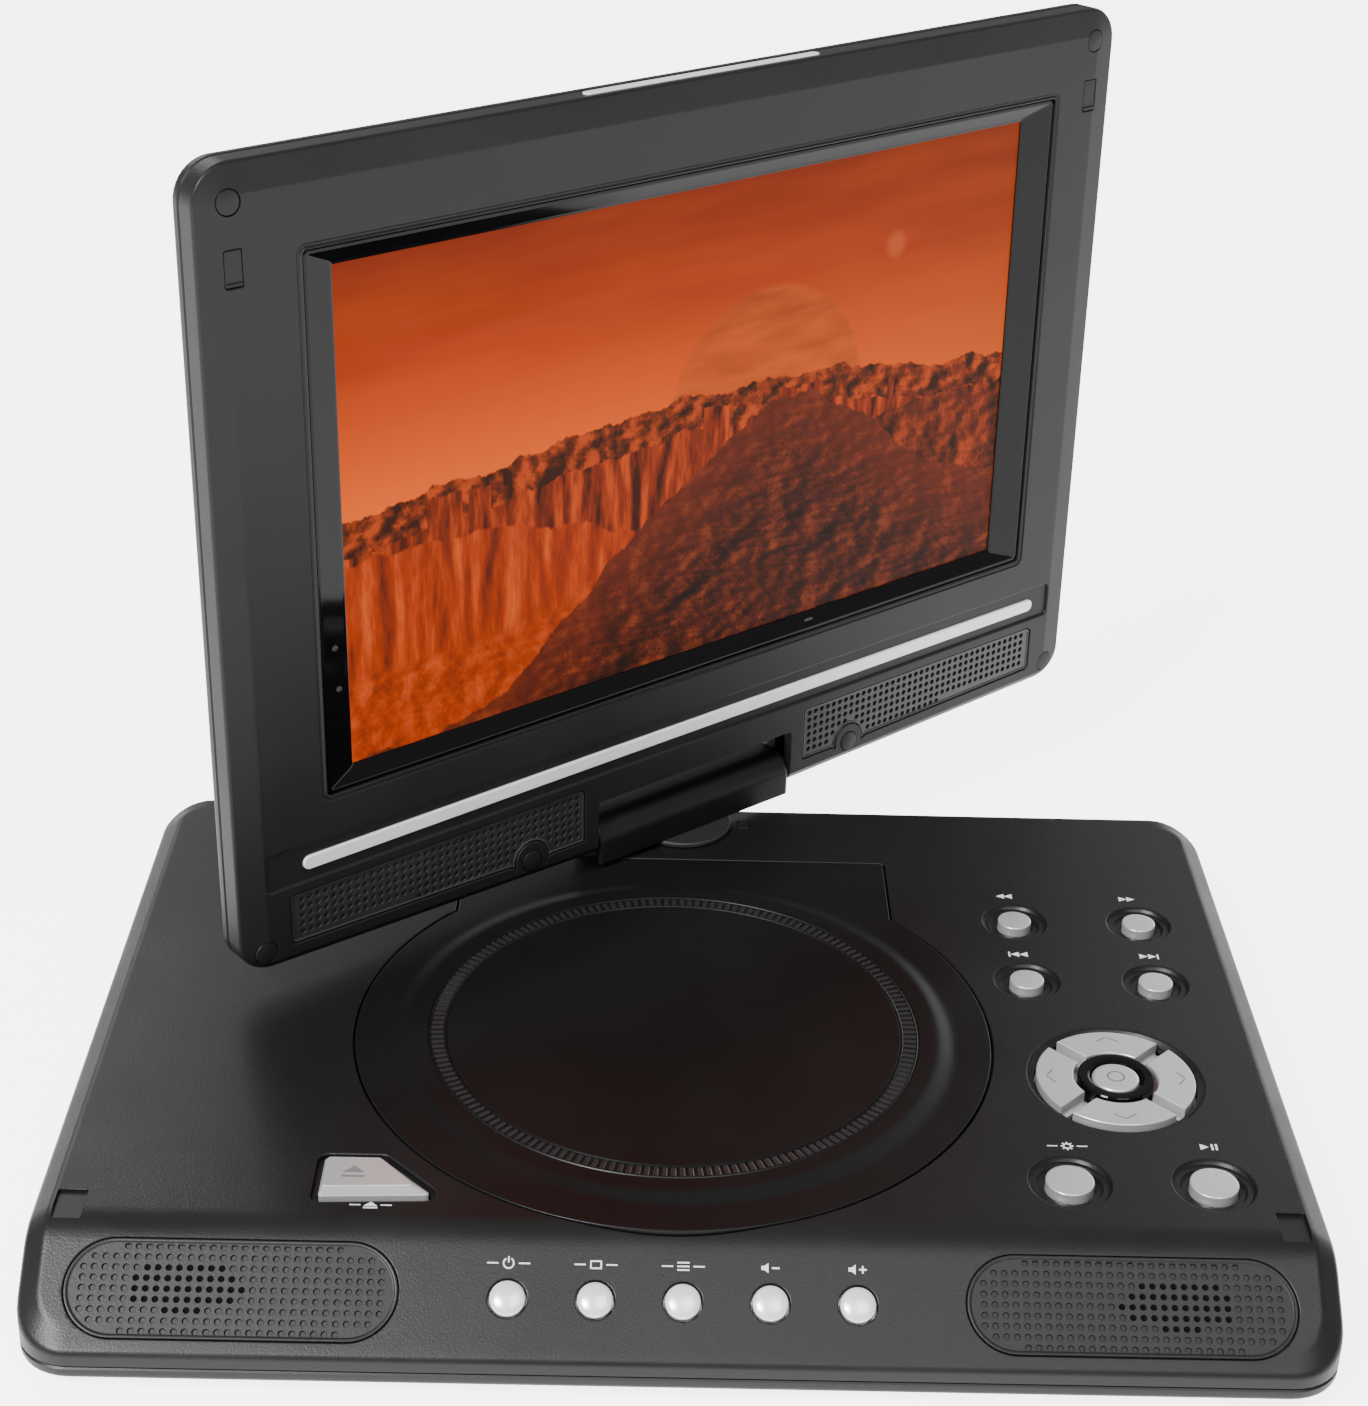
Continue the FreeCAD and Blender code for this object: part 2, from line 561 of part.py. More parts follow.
# ---- screen ----
def lid_outline(inset, y0, y1):
    plate = lid_plate(-LID_HALF + inset, LID_HALF - inset, LID_BOTTOM + inset, LID_TOP - inset,
                      LID_CORNER_R - inset, y0, y1)
    return plate


def lid_trim(top=NOTCH_TOP):
    # cutters shared by both shells: hinge notch and the rising bottom edge
    notch = box(-NOTCH_HALF, NOTCH_HALF, -20, 20, -20, top)
    out = [notch]
    for side in (-1, 1):
        pts = [(side * NOTCH_HALF, -20, LID_BOTTOM), (side * 135, -20, LID_END_BOTTOM + 0.5)]
        pts += [(side * 135, -20, -20), (side * NOTCH_HALF, -20, -20)]
        out.append(prism(pts, (0, 40, 0)))
    return out


S_GRILLE = (34.7, 116.2, 3.9, 17.0)
BUMPERS = [(-122.7, 4.9), (122.7, 4.9), (-121.2, 173.7), (121.2, 173.7), (-50.5, 3.1), (50.5, 3.1)]
S_SCREWS = [(-118, 30), (118, 30), (-118, 168), (118, 168)]


def make_bezel():
    main = lid_outline(0.0, LID_FRONT + 1.1, LID_PART)
    face = lid_loft(
        (-LID_HALF, LID_HALF, LID_BOTTOM, LID_TOP, LID_CORNER_R, LID_FRONT + 1.1),
        (-LID_HALF + 6.5, LID_HALF - 6.5, LID_BOTTOM, LID_TOP - 7.0, 4.0, LID_FRONT))
    body = main.fuse(face)
    inner = lid_plate(-LID_HALF + LID_WALL, LID_HALF - LID_WALL, LID_END_BOTTOM + 2.4, LID_TOP - LID_WALL,
                      LID_CORNER_R - LID_WALL, LID_FRONT + 1.1 + LID_WALL, LID_PART + 5)
    cuts = lid_trim()
    rim = box(-NOTCH_HALF - 2, NOTCH_HALF + 2, LID_FRONT + 0.2, LID_PART, LID_BOTTOM, NOTCH_TOP + 2)
    body = body.cut(inner)
    body = body.fuse(rim.common(lid_outline(0.0, LID_FRONT + 1.1, LID_PART)))
    for x, z in S_SCREWS:
        body = body.fuse(Part.makeCylinder(2.6, 3.2, V(x, LID_FRONT + 2.0, z), V(0, 1, 0)))
    cuts.append(box(WIN_X0, WIN_X1, -20, 20, WIN_Z0, WIN_Z1))
    cuts.append(lid_plate(-112.2, 116.2, 21.9, 25.5, 1.7, LID_FRONT - 3, LID_FRONT + 0.8))
    x0, x1, z0, z1 = S_GRILLE
    for side in (-1, 1):
        lo = min(side * x0, side * x1)
        hi = max(side * x0, side * x1)
        cuts.append(lid_plate(lo, hi, z0, z1, 1.6, LID_FRONT - 3, LID_FRONT + 1.2))
        cuts.append(lid_plate(lo + 3, hi - 3, z0 + 2.0, z1 - 1.5, 1.4, LID_FRONT - 3, LID_FRONT + 6))
    for x, z in S_SCREWS:
        cuts.append(Part.makeCylinder(1.0, 6, V(x, LID_FRONT + 2.6, z), V(0, 1, 0)))
    for x, z in BUMPERS:
        if abs(x) > 100:
            cuts.append(Part.makeCylinder(2.65, 3.98, V(x, LID_FRONT - 3, z), V(0, 1, 0)))
    for side in (-1, 1):
        lo = min(side * 118.7, side * 122.9)
        cuts.append(box(lo - 0.05, lo + 4.25, LID_FRONT - 3, LID_FRONT + 1.2, 156.55, 164.35))
    out = body.cut(cuts)
    keep = []
    for side in (-1, 1):
        pad = Part.makeCylinder(4.2, 3.0, V(side * 50.5, LID_FRONT, 3.1), V(0, 1, 0))
        keep.append(pad.cut(lid_trim()))
    out = out.fuse(keep)
    for side in (-1, 1):
        out = out.cut(cyl_x(PIN_END_R, 0, 0, side * 41 - 11.0, side * 41 + 11.0))
    return out.removeSplitter()


def make_back():
    main = lid_outline(0.0, LID_PART + 0.1, LID_PART + 2.6)
    face = lid_loft(
        (-LID_HALF, LID_HALF, LID_BOTTOM, LID_TOP, LID_CORNER_R, LID_PART + 2.6),
        (-LID_HALF + 5, LID_HALF - 5, LID_BOTTOM + 3, LID_TOP - 5, 6.0, LID_BACK))
    body = main.fuse(face).removeSplitter()
    inner = lid_plate(-LID_HALF + 5.2, LID_HALF - 5.2, 3.0, LID_TOP - 5.2, 5.0, LID_PART - 2, LID_BACK - 1.6)
    body = body.cut(inner)
    rim = box(-NOTCH_HALF - 2, NOTCH_HALF + 2, LID_PART + 0.1, LID_BACK - 1.0, LID_BOTTOM, NOTCH_TOP + 2)
    body = body.fuse(rim)
    for x, z in S_SCREWS:
        body = body.fuse(Part.makeCylinder(2.6, LID_BACK - LID_PART - 0.5, V(x, LID_PART + 0.1, z), V(0, 1, 0)))
    cuts = lid_trim(BACK_NOTCH_TOP)
    for x, z in S_SCREWS:
        cuts.append(Part.makeCylinder(1.0, 12, V(x, -2, z), V(0, 1, 0)))
        cuts.append(Part.makeCylinder(2.0, 6, V(x, LID_BACK - 1.4, z), V(0, 1, 0)))
    out = body.cut(cuts)
    for side in (-1, 1):
        out = out.cut(cyl_x(PIN_END_R, 0, 0, side * 41 - 11.0, side * 41 + 11.0))
    return out.removeSplitter()


save("screen_bezel", to_lid(make_bezel()))
save("screen_back_shell", to_lid(make_back()))
hinges = []
for side in (-1, 1):
    lo = min(side * 21.4, side * 30.4)
    shaft = cyl_x(2.0, 0, 0, lo, lo + 9.0)
    lo = min(side * 30.0, side * 52.0)
    # the end held in the lid is thinner, so it stays inside the rising bottom edge
    hinges.append(shaft.fuse(cyl_x(PIN_END_R, 0, 0, lo, lo + 22.0)).removeSplitter())
save("tilt_hinges", to_lid(group(hinges)))
frame = lid_plate(WIN_X0 + 0.3, WIN_X1 - 0.3, WIN_Z0 + 0.3, WIN_Z1 - 0.3, 1.0, LID_FRONT + 0.5, LID_FRONT + 2.6)
hole = lid_loft((PIC_X0 - 6.5, PIC_X1 + 6.5, PIC_Z0 - 3.2, PIC_Z1 + 3.2, 1.0, LID_FRONT + 0.4),
                (PIC_X0, PIC_X1, PIC_Z0, PIC_Z1, 0.8, LID_FRONT + 2.0))
window = lid_plate(PIC_X0, PIC_X1, PIC_Z0, PIC_Z1, 0.8, LID_FRONT - 1, LID_FRONT + 4)
save("lcd_bezel", to_lid(frame.cut([hole, window]).removeSplitter()))
save("lcd_panel", to_lid(box(PIC_X0 - 4, PIC_X1 + 4, LID_FRONT + 2.7, LID_FRONT + 6.1, PIC_Z0 - 3, PIC_Z1 + 3)))
board = box(-60, 70, 1.4, 2.6, 60, 118).fuse(box(-20, 0, 2.5, 3.3, 80, 100)).removeSplitter()
save("lcd_board", to_lid(board))
save("chrome_strip", to_lid(lid_plate(-112.1, 116.1, 22.0, 25.4, 1.6, LID_FRONT - 0.2, LID_FRONT + 0.8)))
trim = box(-33, 33, LID_FRONT + 2.2, LID_FRONT + 4.2, LID_TOP, LID_TOP + 0.35)
save("top_trim", to_lid(trim))


def make_screen_grille(side):
    x0, x1, z0, z1 = S_GRILLE
    lo = min(side * x0, side * x1) + 0.15
    hi = max(side * x0, side * x1) - 0.15
    plate = lid_plate(lo, hi, z0 + 0.15, z1 - 0.15, 1.5, LID_FRONT + 0.1, LID_FRONT + 1.2)
    cuts = [Part.makeCylinder(4.3, 6, V(side * 50.5, LID_FRONT - 2, 3.1), V(0, 1, 0))]
    for i in range(0, 15):
        for j in range(0, 2):
            x = side * (42.0 + i * 4.9)
            cuts.append(Part.makeCylinder(0.6, 6, V(x, LID_FRONT - 2, 9.6 + j * 4.2), V(0, 1, 0)))
    return plate.cut(cuts)


save("screen_grilles", to_lid(group([make_screen_grille(-1), make_screen_grille(1)])))
spk = []
for side in (-1, 1):
    c = side * 82
    spk.append(lid_plate(c - 22, c + 22, 5.0, 17.5, 4.0, LID_FRONT + 3.2, LID_FRONT + 6.4))
save("screen_speakers", to_lid(group(spk)))
pads = []
for x, z in BUMPERS:
    start = LID_FRONT
    if abs(x) > 100:
        start = LID_FRONT + 0.98
    pads.append(Part.makeCylinder(2.6, start - (LID_FRONT - 1.2), V(x, LID_FRONT - 1.2, z), V(0, 1, 0)))
save("screen_bumpers", to_lid(group(pads)))
hooks = []
for side in (-1, 1):
    lo = min(side * 118.7, side * 122.9)
    hooks.append(box(lo, lo + 4.2, LID_FRONT - 0.7, LID_FRONT + 1.2, 156.6, 164.3))
save("latch_hooks", to_lid(group(hooks)))
sc = []
for x, z in S_SCREWS:
    shank = Part.makeCylinder(1.0, LID_BACK - 1.5 - (LID_FRONT + 2.7), V(x, LID_FRONT + 2.7, z), V(0, 1, 0))
    head = Part.makeCylinder(1.9, 1.2, V(x, LID_BACK - 1.4, z), V(0, 1, 0))
    sc.append(fuse([shank, head]))
save("screen_screws", to_lid(group(sc)))
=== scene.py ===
import math
import bpy
import bmesh
from mathutils import Matrix, Vector


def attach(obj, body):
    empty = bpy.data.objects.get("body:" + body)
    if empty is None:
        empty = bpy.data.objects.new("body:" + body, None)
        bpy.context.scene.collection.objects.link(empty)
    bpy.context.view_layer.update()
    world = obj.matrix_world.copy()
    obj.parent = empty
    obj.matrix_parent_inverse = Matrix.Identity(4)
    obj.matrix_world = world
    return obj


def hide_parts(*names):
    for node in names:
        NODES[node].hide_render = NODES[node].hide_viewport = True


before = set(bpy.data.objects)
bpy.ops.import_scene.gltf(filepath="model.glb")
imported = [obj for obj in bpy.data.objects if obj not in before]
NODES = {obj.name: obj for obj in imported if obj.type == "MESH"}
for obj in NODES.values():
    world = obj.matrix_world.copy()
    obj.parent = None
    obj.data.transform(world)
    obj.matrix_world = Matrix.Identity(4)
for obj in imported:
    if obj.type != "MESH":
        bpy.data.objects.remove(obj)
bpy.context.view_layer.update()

MM = 0.001

# ---- sizes, millimetres ----
HALF_W, HALF_D, CORNER = 129.35, 94.25, 11.0
TOP, PARTING, WALL = 25.5, 6.4, 2.2
CREASE_Y, ROLL_R = -72.75, 12.0
SLOPE = math.radians(36.5)
BEVEL_W, BEVEL_H = 4.35, 3.0
DOOR_X, DOOR_Y, DOOR_R, TAB_HALF, TAB_BACK = -2.06, -3.75, 69.6, 51.0, 68.95
SWIVEL_Y, TILT_Z = 86.2, 32.5
LID_FRONT, LID_PART, LID_BACK = -5.4, 0.8, 5.2
LID_X, LID_TOP, LID_LOW = 128.7, 181.5, -2.1
WIN = (-105.3, 108.9, 38.5, 161.3)
PIC = (-97.4, 99.5, 43.2, 156.6)
PAD_X, PAD_Y = 93.1, -19.0
DOOR_RIBS = 180
ROUND_BUTTONS = [
    ("rewind_button", 78.4, 43.75, 7.4, 3.9), ("forward_button", 107.8, 43.75, 7.4, 3.9),
    ("previous_button", 78.4, 18.5, 7.4, 3.9), ("next_button", 107.8, 18.5, 7.4, 3.9),
    ("setup_button", 78.4, -55.35, 8.4, 5.0), ("play_button", 107.8, -55.35, 8.4, 5.0)]
FRONT_X = [-34.1, -17.05, 0.0, 17.05, 34.1]
FRONT_S = 14.35
HOLE_PITCH, LID_HOLE_PITCH = 2.07, 2.06
GRILLE = (55.2, 120.2, 3.7, 23.5)
OPEN_PTS = [(-72.9, -64.65), (-50.2, -63.65), (-61.2, -52.35), (-72.8, -52.35)]
S_GRILLE = (34.7, 116.2, 3.9, 17.0)
SOCKETS, SOCKET_Z = [(20.0, 3.35), (34.0, 3.35), (52.0, 4.65)], 13.5    # (y, radius) on the right wall
LATCH_X, LATCH_Z0, LATCH_Z1 = 120.8, 156.6, 164.3
BUMPERS = [(-122.7, 4.9), (122.7, 4.9), (-121.2, 173.7), (121.2, 173.7), (-50.5, 3.1), (50.5, 3.1)]
SCREWS = [(-121, 84), (121, 84), (-121, -65.5), (121, -65.5), (-62, 84), (62, 84)]
FEET = [(-108, 78), (108, 78), (-108, -76), (108, -76)]

REST_TURN, REST_LEAN = 39.05, -0.6      # degrees, how the screen is turned and leaned at rest
NOTCH_HALF, NOTCH_TOP, BACK_NOTCH_TOP = 30.7, 12.0, 8.2
RISE_FROM, RISE_TO, RISE = 31.8, 116, 2.3   # the lid's lower edge rises beside the hinge
SHELL_STATIONS_X = [-118.35 + 236.7 * i / 14 for i in range(15)]
SHELL_STATIONS_Y = ([-83.25, -80.5, -78.5] + [-77.0 + i for i in range(8)]
                    + [-68.8, -66, -40, 0, 40, 70, 83.25])


def shift(x, y, z=0.0):
    return Matrix.Translation((x, y, z))


def spin(degrees, axis):
    return Matrix.Rotation(math.radians(degrees), 4, axis)


TURRET_AT = shift(0, SWIVEL_Y, TILT_Z) @ spin(REST_TURN, "Z")
LID_AT = TURRET_AT @ spin(REST_LEAN, "X")


def slope_at(x, s, rise=0.0):
    # frame on the front slope: X along the front, Y up the slope, Z out of it
    y = CREASE_Y - s * math.cos(SLOPE) - rise * math.sin(SLOPE)
    z = TOP - s * math.sin(SLOPE) + rise * math.cos(SLOPE)
    return shift(x, y, z) @ Matrix.Rotation(SLOPE, 4, "X")


def upright(x, z, y=0.0):
    # frame on the screen's front: X across, Y up the screen, Z out of the front face
    return shift(x, y, z) @ spin(90, "X")


# ---- mesh helpers, millimetres ----
def temp(verts, faces, at=None):
    # a scratch object, welded and with its faces turned outwards
    me = bpy.data.meshes.new("shape")
    me.from_pydata([tuple(v) for v in verts], [], faces)
    bm = bmesh.new()
    bm.from_mesh(me)
    bmesh.ops.remove_doubles(bm, verts=bm.verts, dist=0.0005)
    bmesh.ops.recalc_face_normals(bm, faces=bm.faces)
    bm.to_mesh(me)
    bm.free()
    if at is not None:
        me.transform(at)
    ob = bpy.data.objects.new("shape", me)
    bpy.context.scene.collection.objects.link(ob)
    return ob


def drop(*obs):
    for o in obs:
        me = o.data
        bpy.data.objects.remove(o)
        if me.users == 0:
            bpy.data.meshes.remove(me)


def join(obs):
    out = obs[0]
    bm = bmesh.new()
    for o in obs:
        bm.from_mesh(o.data)
    bm.to_mesh(out.data)
    bm.free()
    drop(*obs[1:])
    return out


def carve(ob, cutters, op="DIFFERENCE"):
    # cuts the cutters out of ob, or adds them to it, and removes them
    group = bpy.data.collections.new("cut")
    bpy.context.scene.collection.children.link(group)
    for c in cutters:
        group.objects.link(c)
    mod = ob.modifiers.new("b", "BOOLEAN")
    mod.operation = op
    mod.operand_type = "COLLECTION"
    mod.collection = group
    mod.solver = "EXACT"
    dg = bpy.context.evaluated_depsgraph_get()
    me = bpy.data.meshes.new_from_object(ob.evaluated_get(dg))
    ob.modifiers.clear()
    old = ob.data
    ob.data = me
    bpy.data.meshes.remove(old)
    bpy.data.collections.remove(group)
    drop(*cutters)
    return ob


def arc(cx, cy, r, a0, a1, n):
    out = []
    for i in range(n + 1):
        a = math.radians(a0 + (a1 - a0) * i / n)
        out.append((cx + r * math.cos(a), cy + r * math.sin(a)))
    return out


def rrect(x0, x1, y0, y1, r, n=8):
    r = max(r, 0.001)
    return (arc(x1 - r, y0 + r, r, -90, 0, n) + arc(x1 - r, y1 - r, r, 0, 90, n)
            + arc(x0 + r, y1 - r, r, 90, 180, n) + arc(x0 + r, y0 + r, r, 180, 270, n))


def offset(pts, d):
    # outline moved outwards by d, counter-clockwise points, mitred corners
    n = len(pts)
    out = []
    for i in range(n):
        a, b, c = Vector(pts[i - 1]), Vector(pts[i]), Vector(pts[(i + 1) % n])
        e0, e1 = (b - a).normalized(), (c - b).normalized()
        n0, n1 = Vector((e0.y, -e0.x)), Vector((e1.y, -e1.x))
        m = n0 + n1
        k = max(m.dot(n0), 0.3)
        p = b + m * (d / k)
        out.append((p.x, p.y))
    return out


def round_poly(pts, r, n=4):
    # replaces each corner by an arc of about radius r
    out = []
    m = len(pts)
    for i in range(m):
        a, b, c = Vector(pts[i - 1]), Vector(pts[i]), Vector(pts[(i + 1) % m])
        d0, d1 = (a - b).normalized(), (c - b).normalized()
        ang = math.acos(max(-1, min(1, d0.dot(d1))))
        t = min(r / math.tan(ang / 2), (a - b).length * 0.45, (c - b).length * 0.45)
        p, q = b + d0 * t, b + d1 * t
        for k in range(n + 1):
            s = k / n
            w = p * (1 - s) ** 2 + b * 2 * s * (1 - s) + q * s * s
            out.append((w.x, w.y))
    return out


def stack(rings, caps=True, loop=False):
    # closed solid from rings of 3D points with equal counts
    n = len(rings[0])
    verts = [p for r in rings for p in r]
    faces = []
    m = len(rings)
    for k in range(m if loop else m - 1):
        a, b = k * n, ((k + 1) % m) * n
        for i in range(n):
            j = (i + 1) % n
            faces.append((a + i, a + j, b + j, b + i))
    if caps and not loop:
        faces.append(tuple(range(n - 1, -1, -1)))
        faces.append(tuple(range((m - 1) * n, m * n)))
    return verts, faces


def plate(pts, levels, at=None):
    # levels: (height, outward offset)
    rings = []
    for z, d in levels:
        ring = offset(pts, d) if abs(d) > 1e-9 else pts
        rings.append([(x, y, z) for x, y in ring])
    return temp(*stack(rings), at)


def soft_plate(pts, z0, z1, r=0.3, low=0.0, at=None):
    lv = [(z0, -low), (z0 + low, 0)] if low else [(z0, 0)]
    for i in range(5):
        a = math.radians(22.5 * i)
        lv.append((z1 - r + r * math.sin(a), -r + r * math.cos(a)))
    return plate(pts, lv, at)


def flare(pts, z0, z1, r=0.35, at=None):
    # cutter whose mouth rounds the edge that it leaves
    lv = [(z0, 0)]
    for i in range(5):
        a = math.radians(22.5 * i)
        lv.append((z1 - r + r * math.sin(a), r - r * math.cos(a)))
    lv.append((z1 + 0.05, r + 0.05))
    lv.append((z1 + 4, r + 0.05))
    return plate(pts, lv, at)


def lathe(profile, n=64, at=None, loop=False):
    # profile: (radius, height) from the axis back to the axis, or all round a ring's section
    turns = [2 * math.pi * i / n for i in range(n)]
    rings = [[(max(r, 1e-4) * math.cos(a), max(r, 1e-4) * math.sin(a), z) for a in turns] for r, z in profile]
    return temp(*stack(rings, loop=loop), at)


def ring_lathe(profile, n, at):
    return lathe(profile, n, at, loop=True)


def finish_piece(name, ob, body, mat, stands_for=(), at=None, angle=32, weighted=True):
    me = ob.data
    if at is not None:
        me.transform(at)
    me.transform(Matrix.Scale(MM, 4))
    me.polygons.foreach_set("use_smooth", [True] * len(me.polygons))
    me.set_sharp_from_angle(angle=math.radians(angle))
    me.materials.clear()
    me.materials.append(mat)
    ob.name = name
    me.name = name
    if weighted:
        mod = ob.modifiers.new("w", "WEIGHTED_NORMAL")
        mod.keep_sharp = True
        mod.weight = 50
        dg = bpy.context.evaluated_depsgraph_get()
        new = bpy.data.meshes.new_from_object(ob.evaluated_get(dg))
        ob.modifiers.clear()
        ob.data = new
        new.name = name
    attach(ob, body)
    if stands_for:
        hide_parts(*stands_for)
    return ob


# ---- materials ----
def new_mat(name):
    m = bpy.data.materials.new(name)
    m.use_nodes = True
    nt = m.node_tree
    return m, nt, nt.nodes["Principled BSDF"]


def node(nt, kind, **inputs):
    nd = nt.nodes.new(kind)
    for k, v in inputs.items():
        key = k.replace("_", " ")
        if key in nd.inputs:
            nd.inputs[key].default_value = v
        else:
            setattr(nd, k, v)
    return nd


def noise(nt, vec, scale, detail=2.0, rough=0.5):
    nd = node(nt, "ShaderNodeTexNoise", Scale=scale, Detail=detail, Roughness=rough)
    nt.links.new(vec, nd.inputs["Vector"])
    return nd.outputs["Fac"]


def settings(nd, values):
    for key, value in values.items():
        nd.inputs[key].default_value = value


def remap(nt, fac, lo, hi, a=0.0, b=1.0):
    nd = node(nt, "ShaderNodeMapRange")
    nt.links.new(fac, nd.inputs["Value"])
    settings(nd, {"From Min": a, "From Max": b, "To Min": lo, "To Max": hi})
    return nd.outputs["Result"]


def mix(nt, fac, a, b):
    nd = nt.nodes.new("ShaderNodeMix")
    nd.data_type = "RGBA"
    for sock, val in ((0, fac), (6, a), (7, b)):
        if isinstance(val, (tuple, list, float, int)):
            nd.inputs[sock].default_value = val
        else:
            nt.links.new(val, nd.inputs[sock])
    return nd.outputs[2]


M = {}


def moulded(key, name, color, rough, spread=0.05, grain=1400, depth=0.00004, strength=0.35, spec=0.5, coat=0.0,
            metallic=0.0, tint=0.25):
    m, nt, bs = new_mat(name)
    co = nt.nodes.new("ShaderNodeTexCoord").outputs["Object"]
    fine = noise(nt, co, grain, 3.0, 0.6)
    broad = noise(nt, co, 28, 4.0, 0.55)
    light = tuple(min(1.0, c * (1 + tint)) for c in color) + (1.0,)
    dark = tuple(c * (1 - tint) for c in color) + (1.0,)
    nt.links.new(mix(nt, broad, dark, light), bs.inputs["Base Color"])
    nt.links.new(remap(nt, broad, rough - spread, rough + spread, 0.3, 0.7), bs.inputs["Roughness"])
    bump = node(nt, "ShaderNodeBump", Strength=strength, Distance=depth)
    nt.links.new(fine, bump.inputs["Height"])
    nt.links.new(bump.outputs["Normal"], bs.inputs["Normal"])
    settings(bs, {"Specular IOR Level": spec, "Metallic": metallic, "Coat Weight": coat,
                  "Coat Roughness": 0.15})
    M[key] = m


moulded("housing", "housing_black", (0.0105, 0.0105, 0.011), 0.42, grain=2300, depth=0.00007, strength=0.6,
        spec=0.26)
moulded("base", "base_black", (0.0075, 0.0075, 0.008), 0.38, grain=2300, depth=0.00007, strength=0.6, spec=0.38)
moulded("door", "door_black", (0.006, 0.006, 0.0063), 0.34, grain=2200, depth=0.00003, strength=0.25, spec=0.26)
# the door's black plastic made lighter grey for the ribs: painted highlight, on top of their real gloss
moulded("rib", "rib_painted_highlight", (0.017, 0.017, 0.018), 0.28, grain=2200, depth=0.00002, strength=0.2, spec=0.6)
moulded("block", "hinge_black", (0.007, 0.007, 0.0075), 0.38, grain=1500, depth=0.00006, strength=0.4, spec=0.3)
moulded("grille", "grille_black", (0.012, 0.012, 0.0125), 0.42, grain=1500, depth=0.00008, strength=0.4,
        spec=0.35)
# the housing's black made about twice as light for the screen grilles: painted light for the shine they catch, on
# top of real gloss
moulded("lid_grille", "lid_grille_painted_light", (0.021, 0.021, 0.022), 0.38, grain=1500, depth=0.00008, strength=0.4,
        spec=0.5)
# near-black matte material: painted shade for the inside of the open grille holes
moulded("hole", "hole_painted_shade", (0.002, 0.002, 0.002), 0.8, spec=0.1)
moulded("silver", "silver_paint", (0.78, 0.785, 0.79), 0.30, spread=0.04, grain=2600, depth=0.00002,
        strength=0.3, metallic=0.65, tint=0.05)
# the silver paint made near white for the dome buttons: painted light for their brightly lit look, along with
# real metal gloss
moulded("dome", "dome_painted_light_silver", (0.94, 0.945, 0.95), 0.24, spread=0.03, grain=2500, depth=0.00001,
        strength=0.15, metallic=0.3, tint=0.03)
moulded("strip", "strip_silver", (0.92, 0.925, 0.93), 0.38, spread=0.04, grain=1100, depth=0.0002,
        strength=0.6, metallic=0.2, tint=0.08)
moulded("gloss", "gloss_black", (0.0025, 0.0025, 0.003), 0.07, spread=0.02, grain=60, depth=0.00002,
        strength=0.05, tint=0.1, spec=0.2)
moulded("rubber", "rubber", (0.014, 0.014, 0.014), 0.62, grain=1200, depth=0.00005, strength=0.4)
moulded("print", "white_print", (0.85, 0.85, 0.85), 0.5, grain=3000, depth=0.00001, strength=0.1, tint=0.03)
moulded("grey_print", "grey_print", (0.16, 0.16, 0.165), 0.4, grain=3000, depth=0.00001, strength=0.1)
moulded("steel", "steel", (0.45, 0.45, 0.46), 0.32, grain=700, depth=0.00002, strength=0.2, metallic=1.0,
        tint=0.08)
moulded("well", "well_black", (0.018, 0.018, 0.019), 0.5, grain=1200, depth=0.00004, strength=0.3)
moulded("wrap", "battery_wrap", (0.02, 0.05, 0.16), 0.3, grain=300, depth=0.00005, strength=0.3, coat=0.4)
moulded("cone", "speaker_paper", (0.03, 0.028, 0.026), 0.75, grain=800, depth=0.0001, strength=0.5)
moulded("socket", "socket_black", (0.012, 0.012, 0.012), 0.35, grain=1800, depth=0.00003, strength=0.2)


def board_mat():
    m, nt, bs = new_mat("circuit_board")
    co = nt.nodes.new("ShaderNodeTexCoord").outputs["Object"]
    vor = node(nt, "ShaderNodeTexVoronoi", Scale=260.0)
    vor.distance = "MANHATTAN"
    nt.links.new(co, vor.inputs["Vector"])
    ramp = remap(nt, vor.outputs["Distance"], 0.0, 1.0, 0.15, 0.25)
    nt.links.new(mix(nt, ramp, (0.02, 0.20, 0.07, 1), (0.008, 0.07, 0.028, 1)), bs.inputs["Base Color"])
    bs.inputs["Roughness"].default_value = 0.35
    return m


M["board"] = board_mat()


